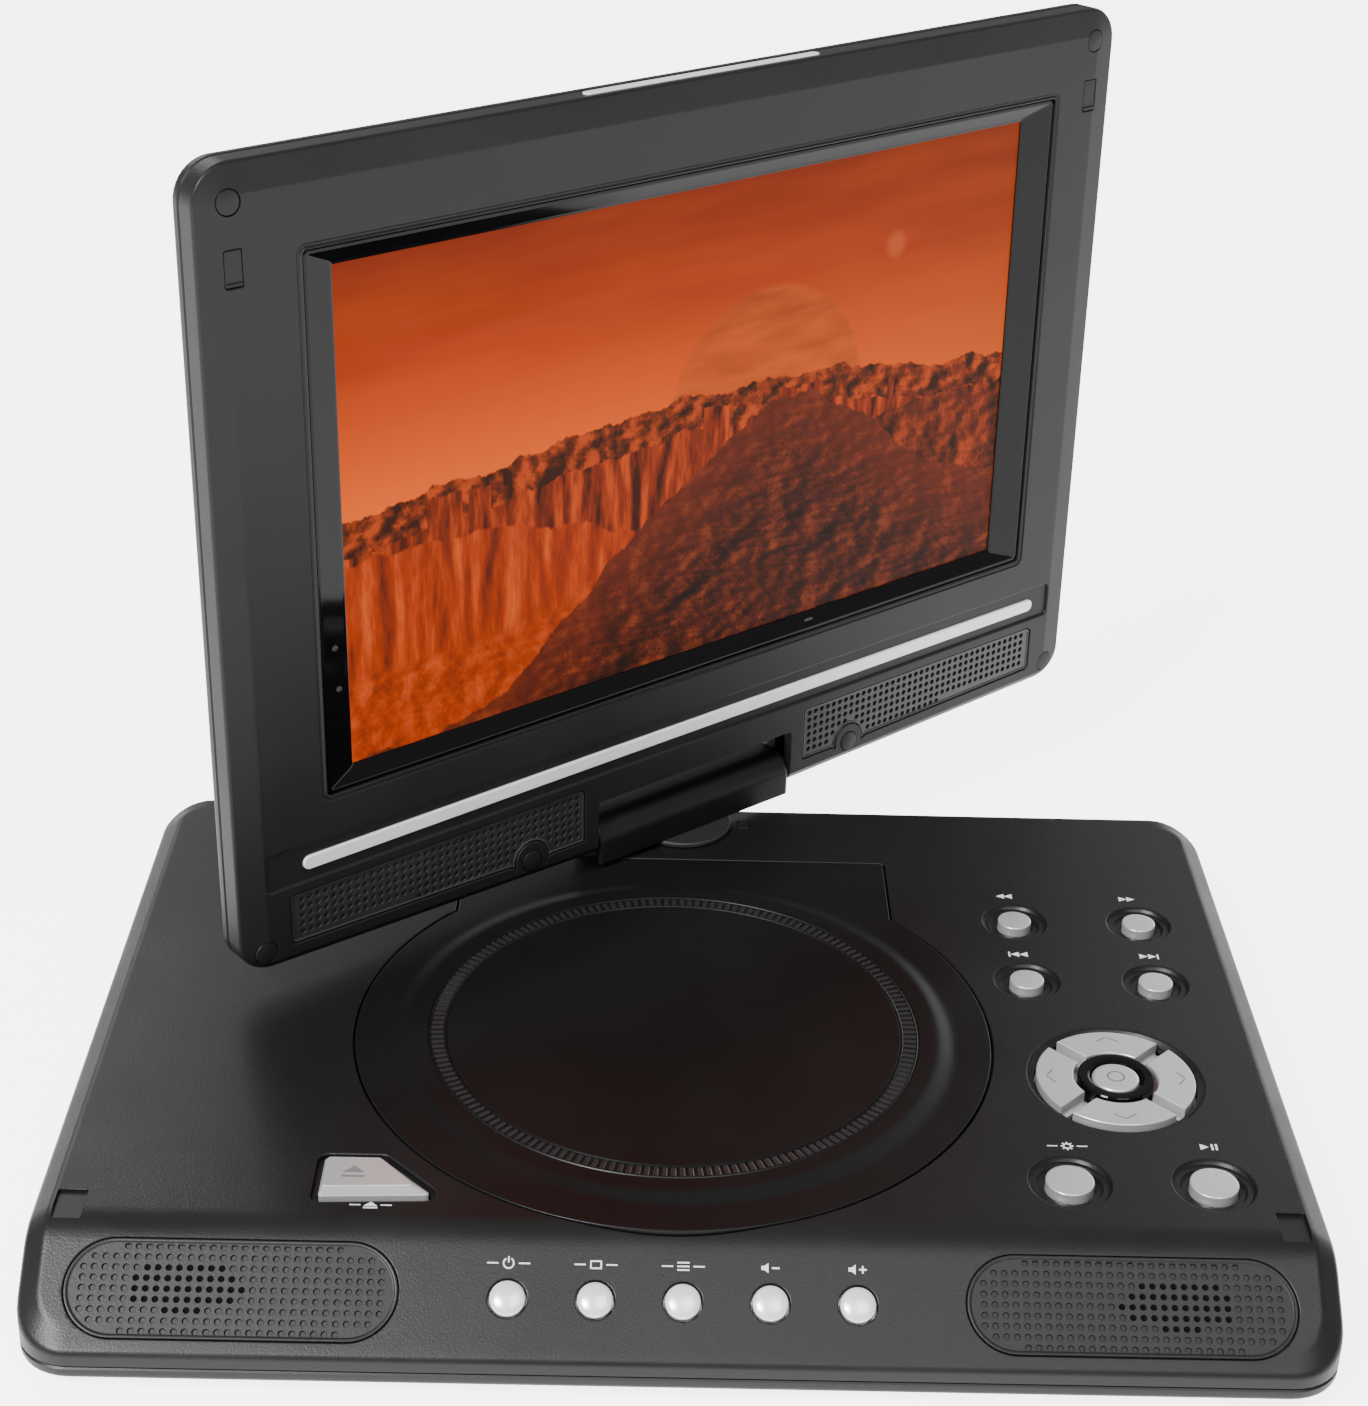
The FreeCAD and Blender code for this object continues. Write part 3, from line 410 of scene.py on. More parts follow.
def picture_mat():
    # a desert under an orange sky, drawn from the display's own UV
    m, nt, bs = new_mat("display_picture")
    link = nt.links.new
    aspect = 1.736
    uv = nt.nodes.new("ShaderNodeTexCoord").outputs["UV"]
    sep = nt.nodes.new("ShaderNodeSeparateXYZ")
    link(uv, sep.inputs[0])
    u, v = sep.outputs[0], sep.outputs[1]

    def math_(op, a, b=None, clamp=False):
        nd = nt.nodes.new("ShaderNodeMath")
        nd.operation = op
        nd.use_clamp = clamp
        for i, val in enumerate((a, b)):
            if val is None:
                continue
            if isinstance(val, (int, float)):
                nd.inputs[i].default_value = val
            else:
                link(val, nd.inputs[i])
        return nd.outputs[0]

    def coords(sx, sy, ox=0.0, oy=0.0):
        mp = node(nt, "ShaderNodeMapping")
        mp.inputs["Scale"].default_value = (sx, sy, 1)
        mp.inputs["Location"].default_value = (ox, oy, 0)
        link(uv, mp.inputs["Vector"])
        return mp.outputs[0]

    def ramp(fac, stops, curve="LINEAR"):
        rp = nt.nodes.new("ShaderNodeValToRGB")
        rp.color_ramp.interpolation = curve
        el = rp.color_ramp.elements
        el[0].position, el[0].color = stops[0][0], stops[0][1] + (1,)
        el[1].position, el[1].color = stops[-1][0], stops[-1][1] + (1,)
        for p, c in stops[1:-1]:
            el.new(p).color = c + (1,)
        link(fac, rp.inputs[0])
        return rp.outputs[0]

    def edge(height, width=0.004):
        # 1 below the line v = height
        return math_("DIVIDE", math_("SUBTRACT", height, v), width, clamp=True)

    def disc(cx, cy, r, soft):
        dx = math_("MULTIPLY", math_("SUBTRACT", u, cx), aspect)
        dy = math_("SUBTRACT", v, cy)
        d = math_("SQRT", math_("ADD", math_("MULTIPLY", dx, dx), math_("MULTIPLY", dy, dy)))
        return math_("DIVIDE", math_("SUBTRACT", r, d), soft, clamp=True)

    def skyline(stops, rough_line, gain):
        # a smooth height along the picture, with a rough line added
        smooth = ramp(u, [(p, (h, h, h)) for p, h in stops], "B_SPLINE")
        return math_("ADD", smooth, math_("MULTIPLY", math_("SUBTRACT", rough_line, 0.5), gain))

    def relief(sx, sy, ox, scale, detail, rough, gain):
        # light from the left and above on bumpy ground
        a = noise(nt, coords(sx, sy, ox), scale, detail, rough)
        b = noise(nt, coords(sx, sy, ox + 0.012 * sx, -0.010 * sy), scale, detail, rough)
        return math_("ADD", 0.5, math_("MULTIPLY", math_("SUBTRACT", a, b), gain), clamp=True)

    sky = ramp(v, [(0.50, (1.25, 0.165, 0.004)), (0.62, (0.98, 0.105, 0.0)), (0.78, (0.56, 0.045, 0.0)),
                   (1.0, (0.27, 0.022, 0.0015))])
    side = math_("MULTIPLY", math_("POWER", u, 1.6), 0.45)
    sky = mix(nt, side, sky, (0.26, 0.036, 0.002, 1))
    haze = noise(nt, coords(2.0, 7.0), 1.5, 3.0)
    sky = mix(nt, remap(nt, haze, 0.0, 0.22, 0.4, 0.75), sky, (0.95, 0.12, 0.004, 1))
    swirl = noise(nt, coords(5.0, 14.0, 3.0, 1.0), 2.0, 5.0)
    planet = mix(nt, remap(nt, swirl, 0.0, 1.0, 0.35, 0.65), (0.72, 0.115, 0.012, 1), (0.36, 0.062, 0.008, 1))
    sky = mix(nt, math_("MULTIPLY", disc(0.60, 0.50, 0.27, 0.015), 0.62), sky, planet)
    sky = mix(nt, math_("MULTIPLY", disc(0.80, 0.79, 0.036, 0.02), 0.5), sky, (0.80, 0.14, 0.035, 1))

    n1 = noise(nt, coords(6.0, 0.0), 2.0, 7.0, 0.62)
    far = skyline([(0.0, 0.50), (0.2, 0.53), (0.4, 0.57), (0.62, 0.57), (0.8, 0.53), (1.0, 0.47)], n1, 0.11)
    far_sh = relief(12.0, 7.0, 0.0, 2.0, 7.0, 0.62, 3.0)
    far_col = ramp(far_sh, [(0.2, (0.045, 0.010, 0.003)), (0.5, (0.20, 0.028, 0.004)),
                            (0.85, (0.62, 0.072, 0.008))])
    butte = math_("GREATER_THAN", noise(nt, coords(4.2, 0.0, 5.0), 2.4, 2.0, 0.5), 0.53)
    bump_up = math_("MULTIPLY", butte, 0.05)
    mesa = math_("ADD", math_("SUBTRACT", far, 0.075), bump_up)
    mesa_col = ramp(relief(22.0, 2.0, 2.0, 2.0, 6.0, 0.6, 2.2),
                    [(0.15, (0.06, 0.010, 0.003)), (0.5, (0.30, 0.030, 0.004)), (0.85, (0.70, 0.080, 0.008))])
    n2 = noise(nt, coords(5.0, 0.0, 7.0), 2.0, 6.0, 0.6)
    cliff = skyline([(0.0, 0.42), (0.22, 0.42), (0.36, 0.34), (0.5, 0.25), (1.0, 0.1)], n2, 0.12)
    face = relief(17.0, 1.6, 4.0, 1.6, 7.0, 0.62, 1.9)
    cliff_col = ramp(face, [(0.12, (0.10, 0.014, 0.003)), (0.45, (0.42, 0.036, 0.003)),
                            (0.6, (0.58, 0.055, 0.004)),
                            (0.9, (0.95, 0.14, 0.012))])
    sand = skyline([(0.0, 0.20), (0.2, 0.17), (0.4, 0.26), (1.0, 0.3)], n2, 0.08)
    sand_col = ramp(relief(10.0, 5.0, 1.0, 2.0, 8.0, 0.66, 1.8),
                    [(0.15, (0.16, 0.018, 0.003)), (0.5, (0.50, 0.045, 0.003)), (0.85, (0.78, 0.10, 0.010))])
    n3 = noise(nt, coords(8.0, 0.0, 9.0), 2.0, 7.0, 0.65)
    right = skyline([(0.0, 0.0), (0.55, 0.0), (0.68, 0.34), (0.8, 0.44), (1.0, 0.42)], n3, 0.10)
    right_col = ramp(relief(9.0, 4.5, 6.0, 2.0, 8.0, 0.66, 2.6),
                     [(0.15, (0.030, 0.008, 0.004)), (0.5, (0.17, 0.024, 0.005)), (0.88, (0.52, 0.062, 0.010))])
    hill = skyline([(0.0, 0.0), (0.20, 0.0), (0.34, 0.24), (0.44, 0.36), (0.52, 0.42), (0.60, 0.52),
                    (0.68, 0.53),
                    (0.78, 0.40), (0.86, 0.28), (1.0, 0.20)], n3, 0.10)
    shade = relief(8.0, 7.0, 8.0, 2.0, 10.0, 0.7, 2.6)
    hill_col = ramp(shade, [(0.10, (0.014, 0.006, 0.004)), (0.38, (0.048, 0.010, 0.005)),
                            (0.6, (0.115, 0.018, 0.006)),
                            (0.92, (0.28, 0.050, 0.014))])
    crown = edge(math_("SUBTRACT", hill, 0.02), 0.22)
    hill_col = mix(nt, remap(nt, crown, 0.35, 0.0, 0.0, 1.0), hill_col, (0.30, 0.036, 0.007, 1))
    col = mix(nt, edge(far), sky, far_col)
    for line, width, paint in ((mesa, 0.003, mesa_col), (cliff, 0.006, cliff_col), (sand, 0.03, sand_col),
                               (right, 0.005, right_col), (hill, 0.005, hill_col)):
        col = mix(nt, edge(line, width), col, paint)
    link(col, bs.inputs["Emission Color"])
    settings(bs, {"Base Color": (0.004, 0.004, 0.004, 1), "Emission Strength": 1.0, "Roughness": 0.4,
                  "Specular IOR Level": 0.05})
    return m


M["picture"] = picture_mat()


# ---- base top shell ----
def top_height(y, inset=0.0):
    t = ROLL_R * math.tan(SLOPE / 2)
    if y >= CREASE_Y + t:
        return TOP
    if y > CREASE_Y - t * math.cos(SLOPE):
        c = CREASE_Y + t
        return TOP - ROLL_R + math.sqrt(max(ROLL_R ** 2 - (c - y) ** 2, 0))
    return TOP - (CREASE_Y - y) * math.tan(SLOPE)


def bevel_drop(d):
    k = 0.6
    if d < BEVEL_W - k:
        return BEVEL_H * (1 - d / BEVEL_W)
    if d < BEVEL_W + k:
        q = BEVEL_W + k - d
        return BEVEL_H / BEVEL_W * q * q / (4 * k)
    return 0.0


def shell_ring(d, z_of, corner=9):
    # the base's outline, inset by d, with fixed stations along the straight sides
    out = []
    r = CORNER - d
    cx, cy = HALF_W - CORNER, HALF_D - CORNER

    def put(x, y, nx):
        out.append((x, y, z_of(x, y, nx, d)))

    def corner_arc(sx, sy, start):
        for i in range(1, corner):
            a = math.radians(start + 90 * i / corner)
            put(sx * cx + r * math.cos(a), sy * cy + r * math.sin(a), math.cos(a))

    for x in SHELL_STATIONS_X:
        put(x, -HALF_D + d, 0.0)
    corner_arc(1, -1, -90)
    for y in SHELL_STATIONS_Y:
        put(HALF_W - d, y, 1.0)
    corner_arc(1, 1, 0)
    for x in reversed(SHELL_STATIONS_X):
        put(x, HALF_D - d, 0.0)
    corner_arc(-1, 1, 90)
    for y in reversed(SHELL_STATIONS_Y):
        put(-HALF_W + d, y, 1.0)
    corner_arc(-1, -1, 180)
    return out


def level(z):
    # a height rule for shell_ring that is flat
    return lambda x, y, nx, d: z


def build_top_shell():
    def surf(extra):
        return lambda x, y, nx, d: top_height(y) - bevel_drop(d) * nx * nx - extra

    rings = [shell_ring(WALL, level(PARTING)), shell_ring(0.35, level(PARTING)),
             shell_ring(0.0, level(PARTING + 0.35))]
    edge = 0.9
    for i in range(5):
        a = math.radians(22.5 * i)
        rings.append(shell_ring(edge - edge * math.cos(a), surf(edge - edge * math.sin(a))))
    for d in (2.2, 3.75, 4.0, 4.35, 4.7, 4.95, 5.4, 8.0, 11.0):
        rings.append(shell_ring(d, surf(0.0)))
    verts, faces = stack(rings, caps=False)

    def grid(drop_by):
        base, w = len(verts), len(SHELL_STATIONS_X)
        for y in SHELL_STATIONS_Y:
            for x in SHELL_STATIONS_X:
                verts.append((x, y, top_height(y) - drop_by))
        for j in range(len(SHELL_STATIONS_Y) - 1):
            for i in range(w - 1):
                a = base + j * w + i
                faces.append((a, a + 1, a + w + 1, a + w))

    grid(0.0)
    inner = [shell_ring(WALL, level(PARTING))]
    for d in (WALL, 6.0, 11.0):
        step = 1.5 if d < 5 else 0
        inner.append(shell_ring(d, lambda x, y, nx, d, step=step: top_height(y) - WALL - step))
    v2, f2 = stack(inner, caps=False)
    n = len(verts)
    verts.extend(v2)
    faces.extend(tuple(i + n for i in f) for f in f2)
    grid(WALL)
    ob = temp(verts, faces)
    bump = lathe([(0, 7), (12.5, 7.0), (12.8, 7.3), (12.8, TOP - 0.8), (12.55, TOP - 0.25), (12.0, TOP),
                  (0, TOP)], 64,
                 shift(0, SWIVEL_Y))
    carve(ob, [bump], "UNION")
    cuts = [lathe([(0, 5), (10.6, 5), (10.6, 23.3), (0, 23.3)], 64, shift(0, SWIVEL_Y)),
            lathe([(0, 5), (6.1, 5), (6.1, 30), (0, 30)], 64, shift(0, SWIVEL_Y)),
            flare(offset(door_outline(), 0.45), 12, TOP, 0.3)]
    for name, x, y, dish, cap in ROUND_BUTTONS:
        step = dish - 1.7
        cuts.append(lathe([(0, 23.9), (step - 0.3, 23.9), (step, 24.2), (step, 24.35), (step + 0.25, 24.6),
                           (dish - 0.45, 24.6), (dish, 25.05), (dish + 0.13, 25.37), (dish + 0.45, TOP),
                           (dish + 0.5, 28), (0, 28)],
                          64, shift(x, y)))
        cuts.append(lathe([(0, 18), (cap + 0.3, 18), (cap + 0.3, 25), (0, 25)], 48, shift(x, y)))
    cuts.append(lathe([(0, 24.3), (18.0, 24.3), (18.35, 24.6), (18.8, 25.0), (19.0, 25.35), (19.35, TOP),
                       (19.4, 28),
                       (0, 28)], 128, shift(PAD_X, PAD_Y)))
    cuts.append(lathe([(0, 18), (17.5, 18), (17.5, 24.8), (0, 24.8)], 96, shift(PAD_X, PAD_Y)))
    cuts.append(flare(offset(round_poly(OPEN_PTS, 1.0), 1.6), 24.3, TOP, 0.45))
    cuts.append(plate(offset(OPEN_PTS, 0.3), [(18, 0), (24.8, 0)]))
    for x in FRONT_X:
        cuts.append(lathe([(0, -8), (3.85, -8), (3.85, -0.3), (3.95, -0.1), (4.15, 0.0), (4.2, 3), (0, 3)], 48,
                          slope_at(x, FRONT_S)))
    x0, x1, s0, s1 = GRILLE
    h = (s1 - s0) / 2
    for side in (-1, 1):
        c = slope_at(side * (x0 + x1) / 2, (s0 + s1) / 2)
        w = (x1 - x0) / 2
        pts = rrect(-w, w, -h, h, h - 0.01, 14)
        cuts.append(flare(pts, -1.4, 0.0, 0.3, c))
        cuts.append(plate(offset(pts, -2.2), [(-9, 0), (1, 0)], c))
        pk = rrect(side * 121.4 - 2.9, side * 121.4 + 2.9, -72.3, -63.9, 0.5, 3)
        cuts.append(flare(pk, TOP - 0.7, TOP, 0.25))
    cuts.append(plate(rrect(13.6, 17.0, 85.2, 88.8, 0.3, 3), [(TOP - 0.5, 0), (TOP + 1, 0)]))
    for y, r in SOCKETS:
        turn = shift(0, y, SOCKET_Z) @ spin(90, "Y")
        cuts.append(lathe([(0, 118), (r, 118), (r, 128.9), (r + 0.15, 129.2), (r + 0.45, HALF_W),
                           (r + 0.5, 134), (0, 134)],
                          48, turn))
    carve(ob, cuts)
    return finish_piece("top_shell", ob, "base", M["base"], ["base_top_shell"])


def door_outline():
    a = math.degrees(math.acos(TAB_HALF / DOOR_R))
    x0, x1 = DOOR_X - TAB_HALF, DOOR_X + TAB_HALF
    r = 1.0
    pts = arc(x1 - r, TAB_BACK - r, r, 0, 90, 4) + arc(x0 + r, TAB_BACK - r, r, 90, 180, 4)
    pts += arc(DOOR_X, DOOR_Y, DOOR_R, 180 - a, 360 + a, 110)
    return pts


def build_door():
    ob = soft_plate(door_outline(), 23.9, TOP, 0.3, 0.2)
    z = TOP
    prof = [(0, z - 0.5), (62.6, z - 0.5), (62.6, z - 0.02), (62.3, z + 0.01)]
    for i in range(1, 12):
        q = i / 12
        prof.append((62.2 - 5.0 * q, z + 0.8 * (q * q * (3 - 2 * q))))
    prof += [(57.0, z + 0.8), (54.1, z + 0.8), (53.9, z + 0.72), (53.75, z + 0.5), (53.55, z + 0.72),
             (53.4, z + 0.78),
             (53.2, z + 0.72), (53.15, z + 0.4), (50.4, z + 0.4), (50.35, z + 0.72), (50.2, z + 0.78),
             (50.05, z + 0.72),
             (49.85, z + 0.5), (49.7, z + 0.74), (49.5, z + 0.8), (0, z + 0.8)]
    parts = [ob, lathe(prof, 240, shift(DOOR_X, DOOR_Y))]
    ribs_v, ribs_f = [], []
    for i in range(DOOR_RIBS):
        b = len(ribs_v)
        for h, w in ((z + 0.38, 0.62), (z + 0.62, 0.58), (z + 0.73, 0.34), (z + 0.76, 0.0)):
            for r in (50.42, 53.13):
                for sgn in (-1, 1):
                    a = math.radians(360 / DOOR_RIBS * i + sgn * w)
                    ribs_v.append((DOOR_X + r * math.cos(a), DOOR_Y + r * math.sin(a), h))
        for k in range(3):
            o = b + 4 * k
            ribs_f += [(o, o + 2, o + 6, o + 4), (o + 1, o + 5, o + 7, o + 3), (o, o + 4, o + 5, o + 1),
                       (o + 2, o + 3, o + 7, o + 6)]
        ribs_f.append((b, b + 1, b + 3, b + 2))
    finish_piece("rib_ring", temp(ribs_v, ribs_f), "disc_door", M["rib"], weighted=False)
    for hx in (-42, 42):
        turn = shift(DOOR_X + hx, 67.2, 22.9) @ spin(90, "Y")
        parts.append(ring_lathe([(0.86, -3.6), (1.5, -3.6), (1.5, 3.6), (0.86, 3.6)], 32, turn))
        parts.append(plate(rrect(DOOR_X + hx - 3.5, DOOR_X + hx + 3.5, 66.0, 68.4, 0.3, 3),
                           [(23.9, 0), (24.3, 0)]))
    return finish_piece("door_panel", join(parts), "disc_door", M["door"], ["disc_door"])


build_top_shell()
mark = soft_plate(rrect(13.85, 16.75, 85.45, 88.55, 0.25, 3), TOP - 0.5, TOP - 0.05, 0.15)
finish_piece("rear_square", mark, "base", M["base"], weighted=False)
build_door()


# ---- buttons ----
def cap_profile(r, z0, z1, crown=0.06, edge=0.32):
    p = [(0, z0), (r + 0.9, z0), (r + 0.9, z0 + 1.0), (r, z0 + 1.0)]
    for i in range(5):
        a = math.radians(22.5 * i)
        p.append((r - edge + edge * math.cos(a), z1 - crown - edge + edge * math.sin(a)))
    for k in (0.9, 0.6, 0.3, 0.0):
        q = k * (r - edge)
        p.append((q, z1 - crown * k * k))
    return p


for name, x, y, dish, cap in ROUND_BUTTONS:
    ob = lathe(cap_profile(cap, 21.6, TOP + 0.6), 64, shift(x, y))
    finish_piece(name + "_cap", ob, name, M["silver"], [name])

for i, x in enumerate(FRONT_X):
    n = "front_button_%d" % (i + 1)
    p = [(0, -4.6), (4.5, -4.6), (4.5, -3.6), (3.5, -3.6), (3.5, 0.1)]
    for k in range(1, 10):
        a = math.radians(10 * k)
        p.append((3.5 * math.cos(a), 0.1 + 1.0 * math.sin(a)))
    p.append((0, 1.1))
    finish_piece(n + "_cap", lathe(p, 64, slope_at(x, FRONT_S)), n, M["dome"], [n])


def pad_sector(k, r0, r1, gap):
    # arc-shaped outline between two diagonal gaps
    def ang(r):
        return 45 - math.degrees(math.asin(gap / 2 / r))
    c = 90 * k
    pts = arc(PAD_X, PAD_Y, r1, c - ang(r1), c + ang(r1), 24)
    pts += arc(PAD_X, PAD_Y, r0, c + ang(r0), c - ang(r0), 16)
    return pts


for k, n in enumerate(("dpad_right", "dpad_up", "dpad_left", "dpad_down")):
    top = soft_plate(pad_sector(k, 9.1, 17.1, 3.0), 22.0, TOP + 0.4, 0.35)
    low = plate(pad_sector(k, 8.3, 17.3, 1.8), [(21.6, 0), (22.6, 0)])
    finish_piece(n + "_cap", join([top, low]), n, M["silver"], [n])
    tip = 14.6
    arms = [[(tip - 1.3, -2.55), (tip + 0.3, -0.4), (tip + 0.3, 0.05), (tip - 1.3, -2.08)],
            [(tip - 1.3, 2.08), (tip + 0.3, -0.05), (tip + 0.3, 0.4), (tip - 1.3, 2.55)]]
    turn = shift(PAD_X, PAD_Y) @ spin(90 * k, "Z")
    mark = [plate(arm, [(TOP + 0.36, 0), (TOP + 0.46, 0)], turn) for arm in arms]
    finish_piece(n + "_mark", join(mark), n, M["grey_print"], weighted=False)

ob = lathe(cap_profile(5.1, 21.6, TOP + 0.6, 0.12, 0.55), 64, shift(PAD_X, PAD_Y))
finish_piece("enter_cap", ob, "enter_button", M["silver"], ["enter_button"])
dot = ring_lathe([(1.5, TOP + 0.5), (1.95, TOP + 0.5), (1.95, TOP + 0.585), (1.5, TOP + 0.585)], 48,
                 shift(PAD_X, PAD_Y))
finish_piece("enter_mark", dot, "enter_button", M["grey_print"], weighted=False)
prof = [(5.45, 24.6), (8.3, 24.6), (8.3, 25.9), (8.1, 26.12), (7.8, 26.2), (6.2, 26.2), (5.7, 25.9), (5.45, 25.4)]
ob = ring_lathe(prof, 96, shift(PAD_X, PAD_Y))
finish_piece("pad_ring", ob, "base", M["gloss"], ["dpad_ring"])

pts = round_poly(OPEN_PTS, 0.8)
inner = round_poly([(-72.1, -62.3), (-54.0, -61.5), (-61.6, -53.0), (-72.0, -53.0)], 0.7)
levels = [(offset(pts, 0.8), 21.6), (offset(pts, 0.8), 22.6), (pts, 22.6), (pts, TOP - 0.1),
          (offset(pts, -0.12), TOP + 0.08), (offset(inner, 0.22), TOP + 0.72), (offset(inner, 0.06), TOP + 0.86),
          (offset(inner, -0.2), TOP + 0.88)]
rings = [[(x, y, z) for x, y in outline] for outline, z in levels]
finish_piece("open_cap", temp(*stack(rings)), "open_button", M["silver"], ["open_button"])


# ---- printed marks ----
def decal(name, shapes, at, body="base", mat="print", thick=0.06):
    obs = [plate(p, [(-0.02, 0), (thick, 0)], at) for p in shapes]
    return finish_piece(name, join(obs), body, M[mat], weighted=False)


def tri(x, y, w, h, flip=1):
    return [(x - flip * w / 2, y - h / 2), (x + flip * w / 2, y), (x - flip * w / 2, y + h / 2)][::flip]


def bar(x, y, w, h):
    return [(x - w / 2, y - h / 2), (x + w / 2, y - h / 2), (x + w / 2, y + h / 2), (x - w / 2, y + h / 2)]


def ring_part(x, y, r0, r1, a0, a1, n=24):
    return arc(x, y, r1, a0, a1, n) + arc(x, y, r0, a1, a0, n)


def flat(x, y):
    return shift(x, y, TOP)


decal("mark_rewind", [tri(-1.0, 0, 1.9, 2.0, -1), tri(0.9, 0, 1.9, 2.0, -1)], flat(77.2, 55.15))
decal("mark_forward", [tri(-0.9, 0, 1.9, 2.0), tri(1.0, 0, 1.9, 2.0)], flat(106.6, 54.95))
decal("mark_previous", [bar(-2.2, 0, 0.4, 2.0), tri(-0.9, 0, 1.9, 2.0, -1), tri(1.1, 0, 1.9, 2.0, -1)],
      flat(77.8, 29.55))
decal("mark_next", [tri(-1.1, 0, 1.9, 2.0), tri(0.9, 0, 1.9, 2.0), bar(2.2, 0, 0.4, 2.0)], flat(107.9, 29.75))
decal("mark_play", [tri(-0.9, 0, 1.8, 2.0), bar(0.7, 0, 0.45, 2.0), bar(1.6, 0, 0.45, 2.0)],
      flat(108.9, -42.75))
FLANK = [bar(-3.1, 0, 2.2, 0.28), bar(3.1, 0, 2.2, 0.28)]
TOOTH = ((0.9, -0.2), (1.35, -0.13), (1.35, 0.13), (0.9, 0.2))      # radius and angle
teeth = [[(r * math.cos(a + s), r * math.sin(a + s)) for r, s in TOOTH]
         for a in [math.radians(45 * k) for k in range(8)]]
decal("mark_setup", FLANK + [ring_part(0, 0, 0.6, 0.95, 0, 359)] + teeth, flat(79.4, -43.35))
decal("mark_press", FLANK + [[(-1.4, -0.35), (1.4, -0.35), (0, 1.0)], bar(0, -0.85, 2.8, 0.35)],
      flat(-62.1, -67.15))
S_LABEL = 7.4
decal("mark_power", FLANK + [ring_part(0, 0, 0.85, 1.15, 120, 420), bar(0, 0.75, 0.3, 1.2)],
      slope_at(FRONT_X[0], S_LABEL))
frame_mark = [bar(-1.0, 0, 0.3, 1.7), bar(1.0, 0, 0.3, 1.7), bar(0, 0.7, 2.0, 0.3), bar(0, -0.7, 2.0, 0.3)]
decal("mark_mode", FLANK + frame_mark, slope_at(FRONT_X[1], S_LABEL))
decal("mark_menu", FLANK + [bar(0, 0.72, 2.4, 0.3), bar(0, 0, 2.4, 0.3), bar(0, -0.72, 2.4, 0.3)],
      slope_at(FRONT_X[2], S_LABEL))
spk = [(-1.8, -0.4), (-1.2, -0.4), (-0.4, -1.0), (-0.4, 1.0), (-1.2, 0.4), (-1.8, 0.4)]
decal("mark_softer", [spk, bar(1.0, 0, 1.5, 0.34)], slope_at(FRONT_X[3], S_LABEL))
decal("mark_louder", [spk, bar(1.0, 0, 1.5, 0.34), bar(1.0, 0.46, 0.34, 0.58), bar(1.0, -0.46, 0.34, 0.58)],
      slope_at(FRONT_X[4], S_LABEL))
decal("mark_open", [[(-2.3, -0.3), (2.3, -0.3), (0, 1.9)], bar(0, -1.5, 4.6, 0.7)],
      shift(-66.4, -57.6, TOP + 0.86), "open_button", "grey_print", 0.04)


# ---- grilles ----
def perforated(pts, levels, holes, r, depth, at, n=12, mouth=0.1):
    # panel with a moulded rim and a field of blind holes, in one mesh
    bm = bmesh.new()

    def ring_of(points, z):
        return [bm.verts.new((x, y, z)) for x, y in points]

    def skin(a, b):
        for i in range(len(a)):
            j = (i + 1) % len(a)
            bm.faces.new((a[i], a[j], b[j], b[i]))

    rings = [ring_of(offset(pts, d) if d else pts, z) for z, d in levels]
    for a, b in zip(rings, rings[1:]):
        skin(a, b)
    bm.faces.new(rings[0][::-1])
    last = rings[-1]
    edges = [bm.edges.get((last[i - 1], last[i])) for i in range(len(last))]
    z = levels[-1][0]
    for x, y in holes:
        prev = None
        for dz, rr in ((0.0, r + mouth), (0.06, r + mouth * 0.3), (0.16, r), (depth, r * 0.92)):
            circle = [(x + rr * math.cos(2 * math.pi * i / n),
                       y + rr * math.sin(2 * math.pi * i / n)) for i in range(n)]
            cur = ring_of(circle, z - dz)
            if prev is None:
                edges += [bm.edges.new((cur[i - 1], cur[i])) for i in range(n)]
            else:
                skin(prev, cur)
            prev = cur
        bm.faces.new(prev)
    bmesh.ops.triangle_fill(bm, use_beauty=True, use_dissolve=False, edges=edges)
    bmesh.ops.recalc_face_normals(bm, faces=bm.faces)
    me = bpy.data.meshes.new("shape")
    bm.to_mesh(me)
    bm.free()
    me.transform(at)
    ob = bpy.data.objects.new("shape", me)
    bpy.context.scene.collection.objects.link(ob)
    return ob


def base_grille(side):
    x0, x1, s0, s1 = GRILLE
    w, h = (x1 - x0) / 2 - 0.15, (s1 - s0) / 2 - 0.15
    at = slope_at(side * (x0 + x1) / 2, (s0 + s1) / 2)
    pts = []
    for row in range(-4, 5):
        y = row * HOLE_PITCH
        half = w - h + math.sqrt(max((h - 1.5) ** 2 - y * y, 0)) - 0.1
        n = int(half / HOLE_PITCH)
        for col in range(-n, n + 1):
            pts.append((col * HOLE_PITCH, y))
    levels = [(-1.0, 0), (-0.2, 0), (-0.02, -0.08), (0.02, -0.3), (-0.02, -0.55), (-0.3, -0.75), (-0.34, -0.9)]
    ob = perforated(rrect(-w, w, -h, h, h - 0.01, 14), levels, pts, 0.6, 0.5, at)
    return ob, at, pts


def shaded_spots(pts, side):
    # the holes in front of the speaker; the black discs set under them are painted shade standing in for the dark
    # inside open holes
    return [(x, y) for x, y in pts if ((x - side * 9.0) / 11.5) ** 2 + ((y - 0.6) / 5.2) ** 2 < 1.0]


pieces, black = [], []
for side in (-1, 1):
    ob, at, pts = base_grille(side)
    pieces.append(ob)
    # black discs under the open holes: painted shade
    for x, y in shaded_spots(pts, side):
        black.append(lathe([(0, -0.86), (0.58, -0.86), (0.58, -0.6), (0.42, -0.7), (0, -0.74)], 12,
                           at @ shift(x, y)))
finish_piece("slope_grilles", join(pieces), "base", M["grille"], ["base_grilles"], angle=14,
             weighted=False)
finish_piece("grille_opening_shade", join(black), "base", M["hole"], weighted=False)


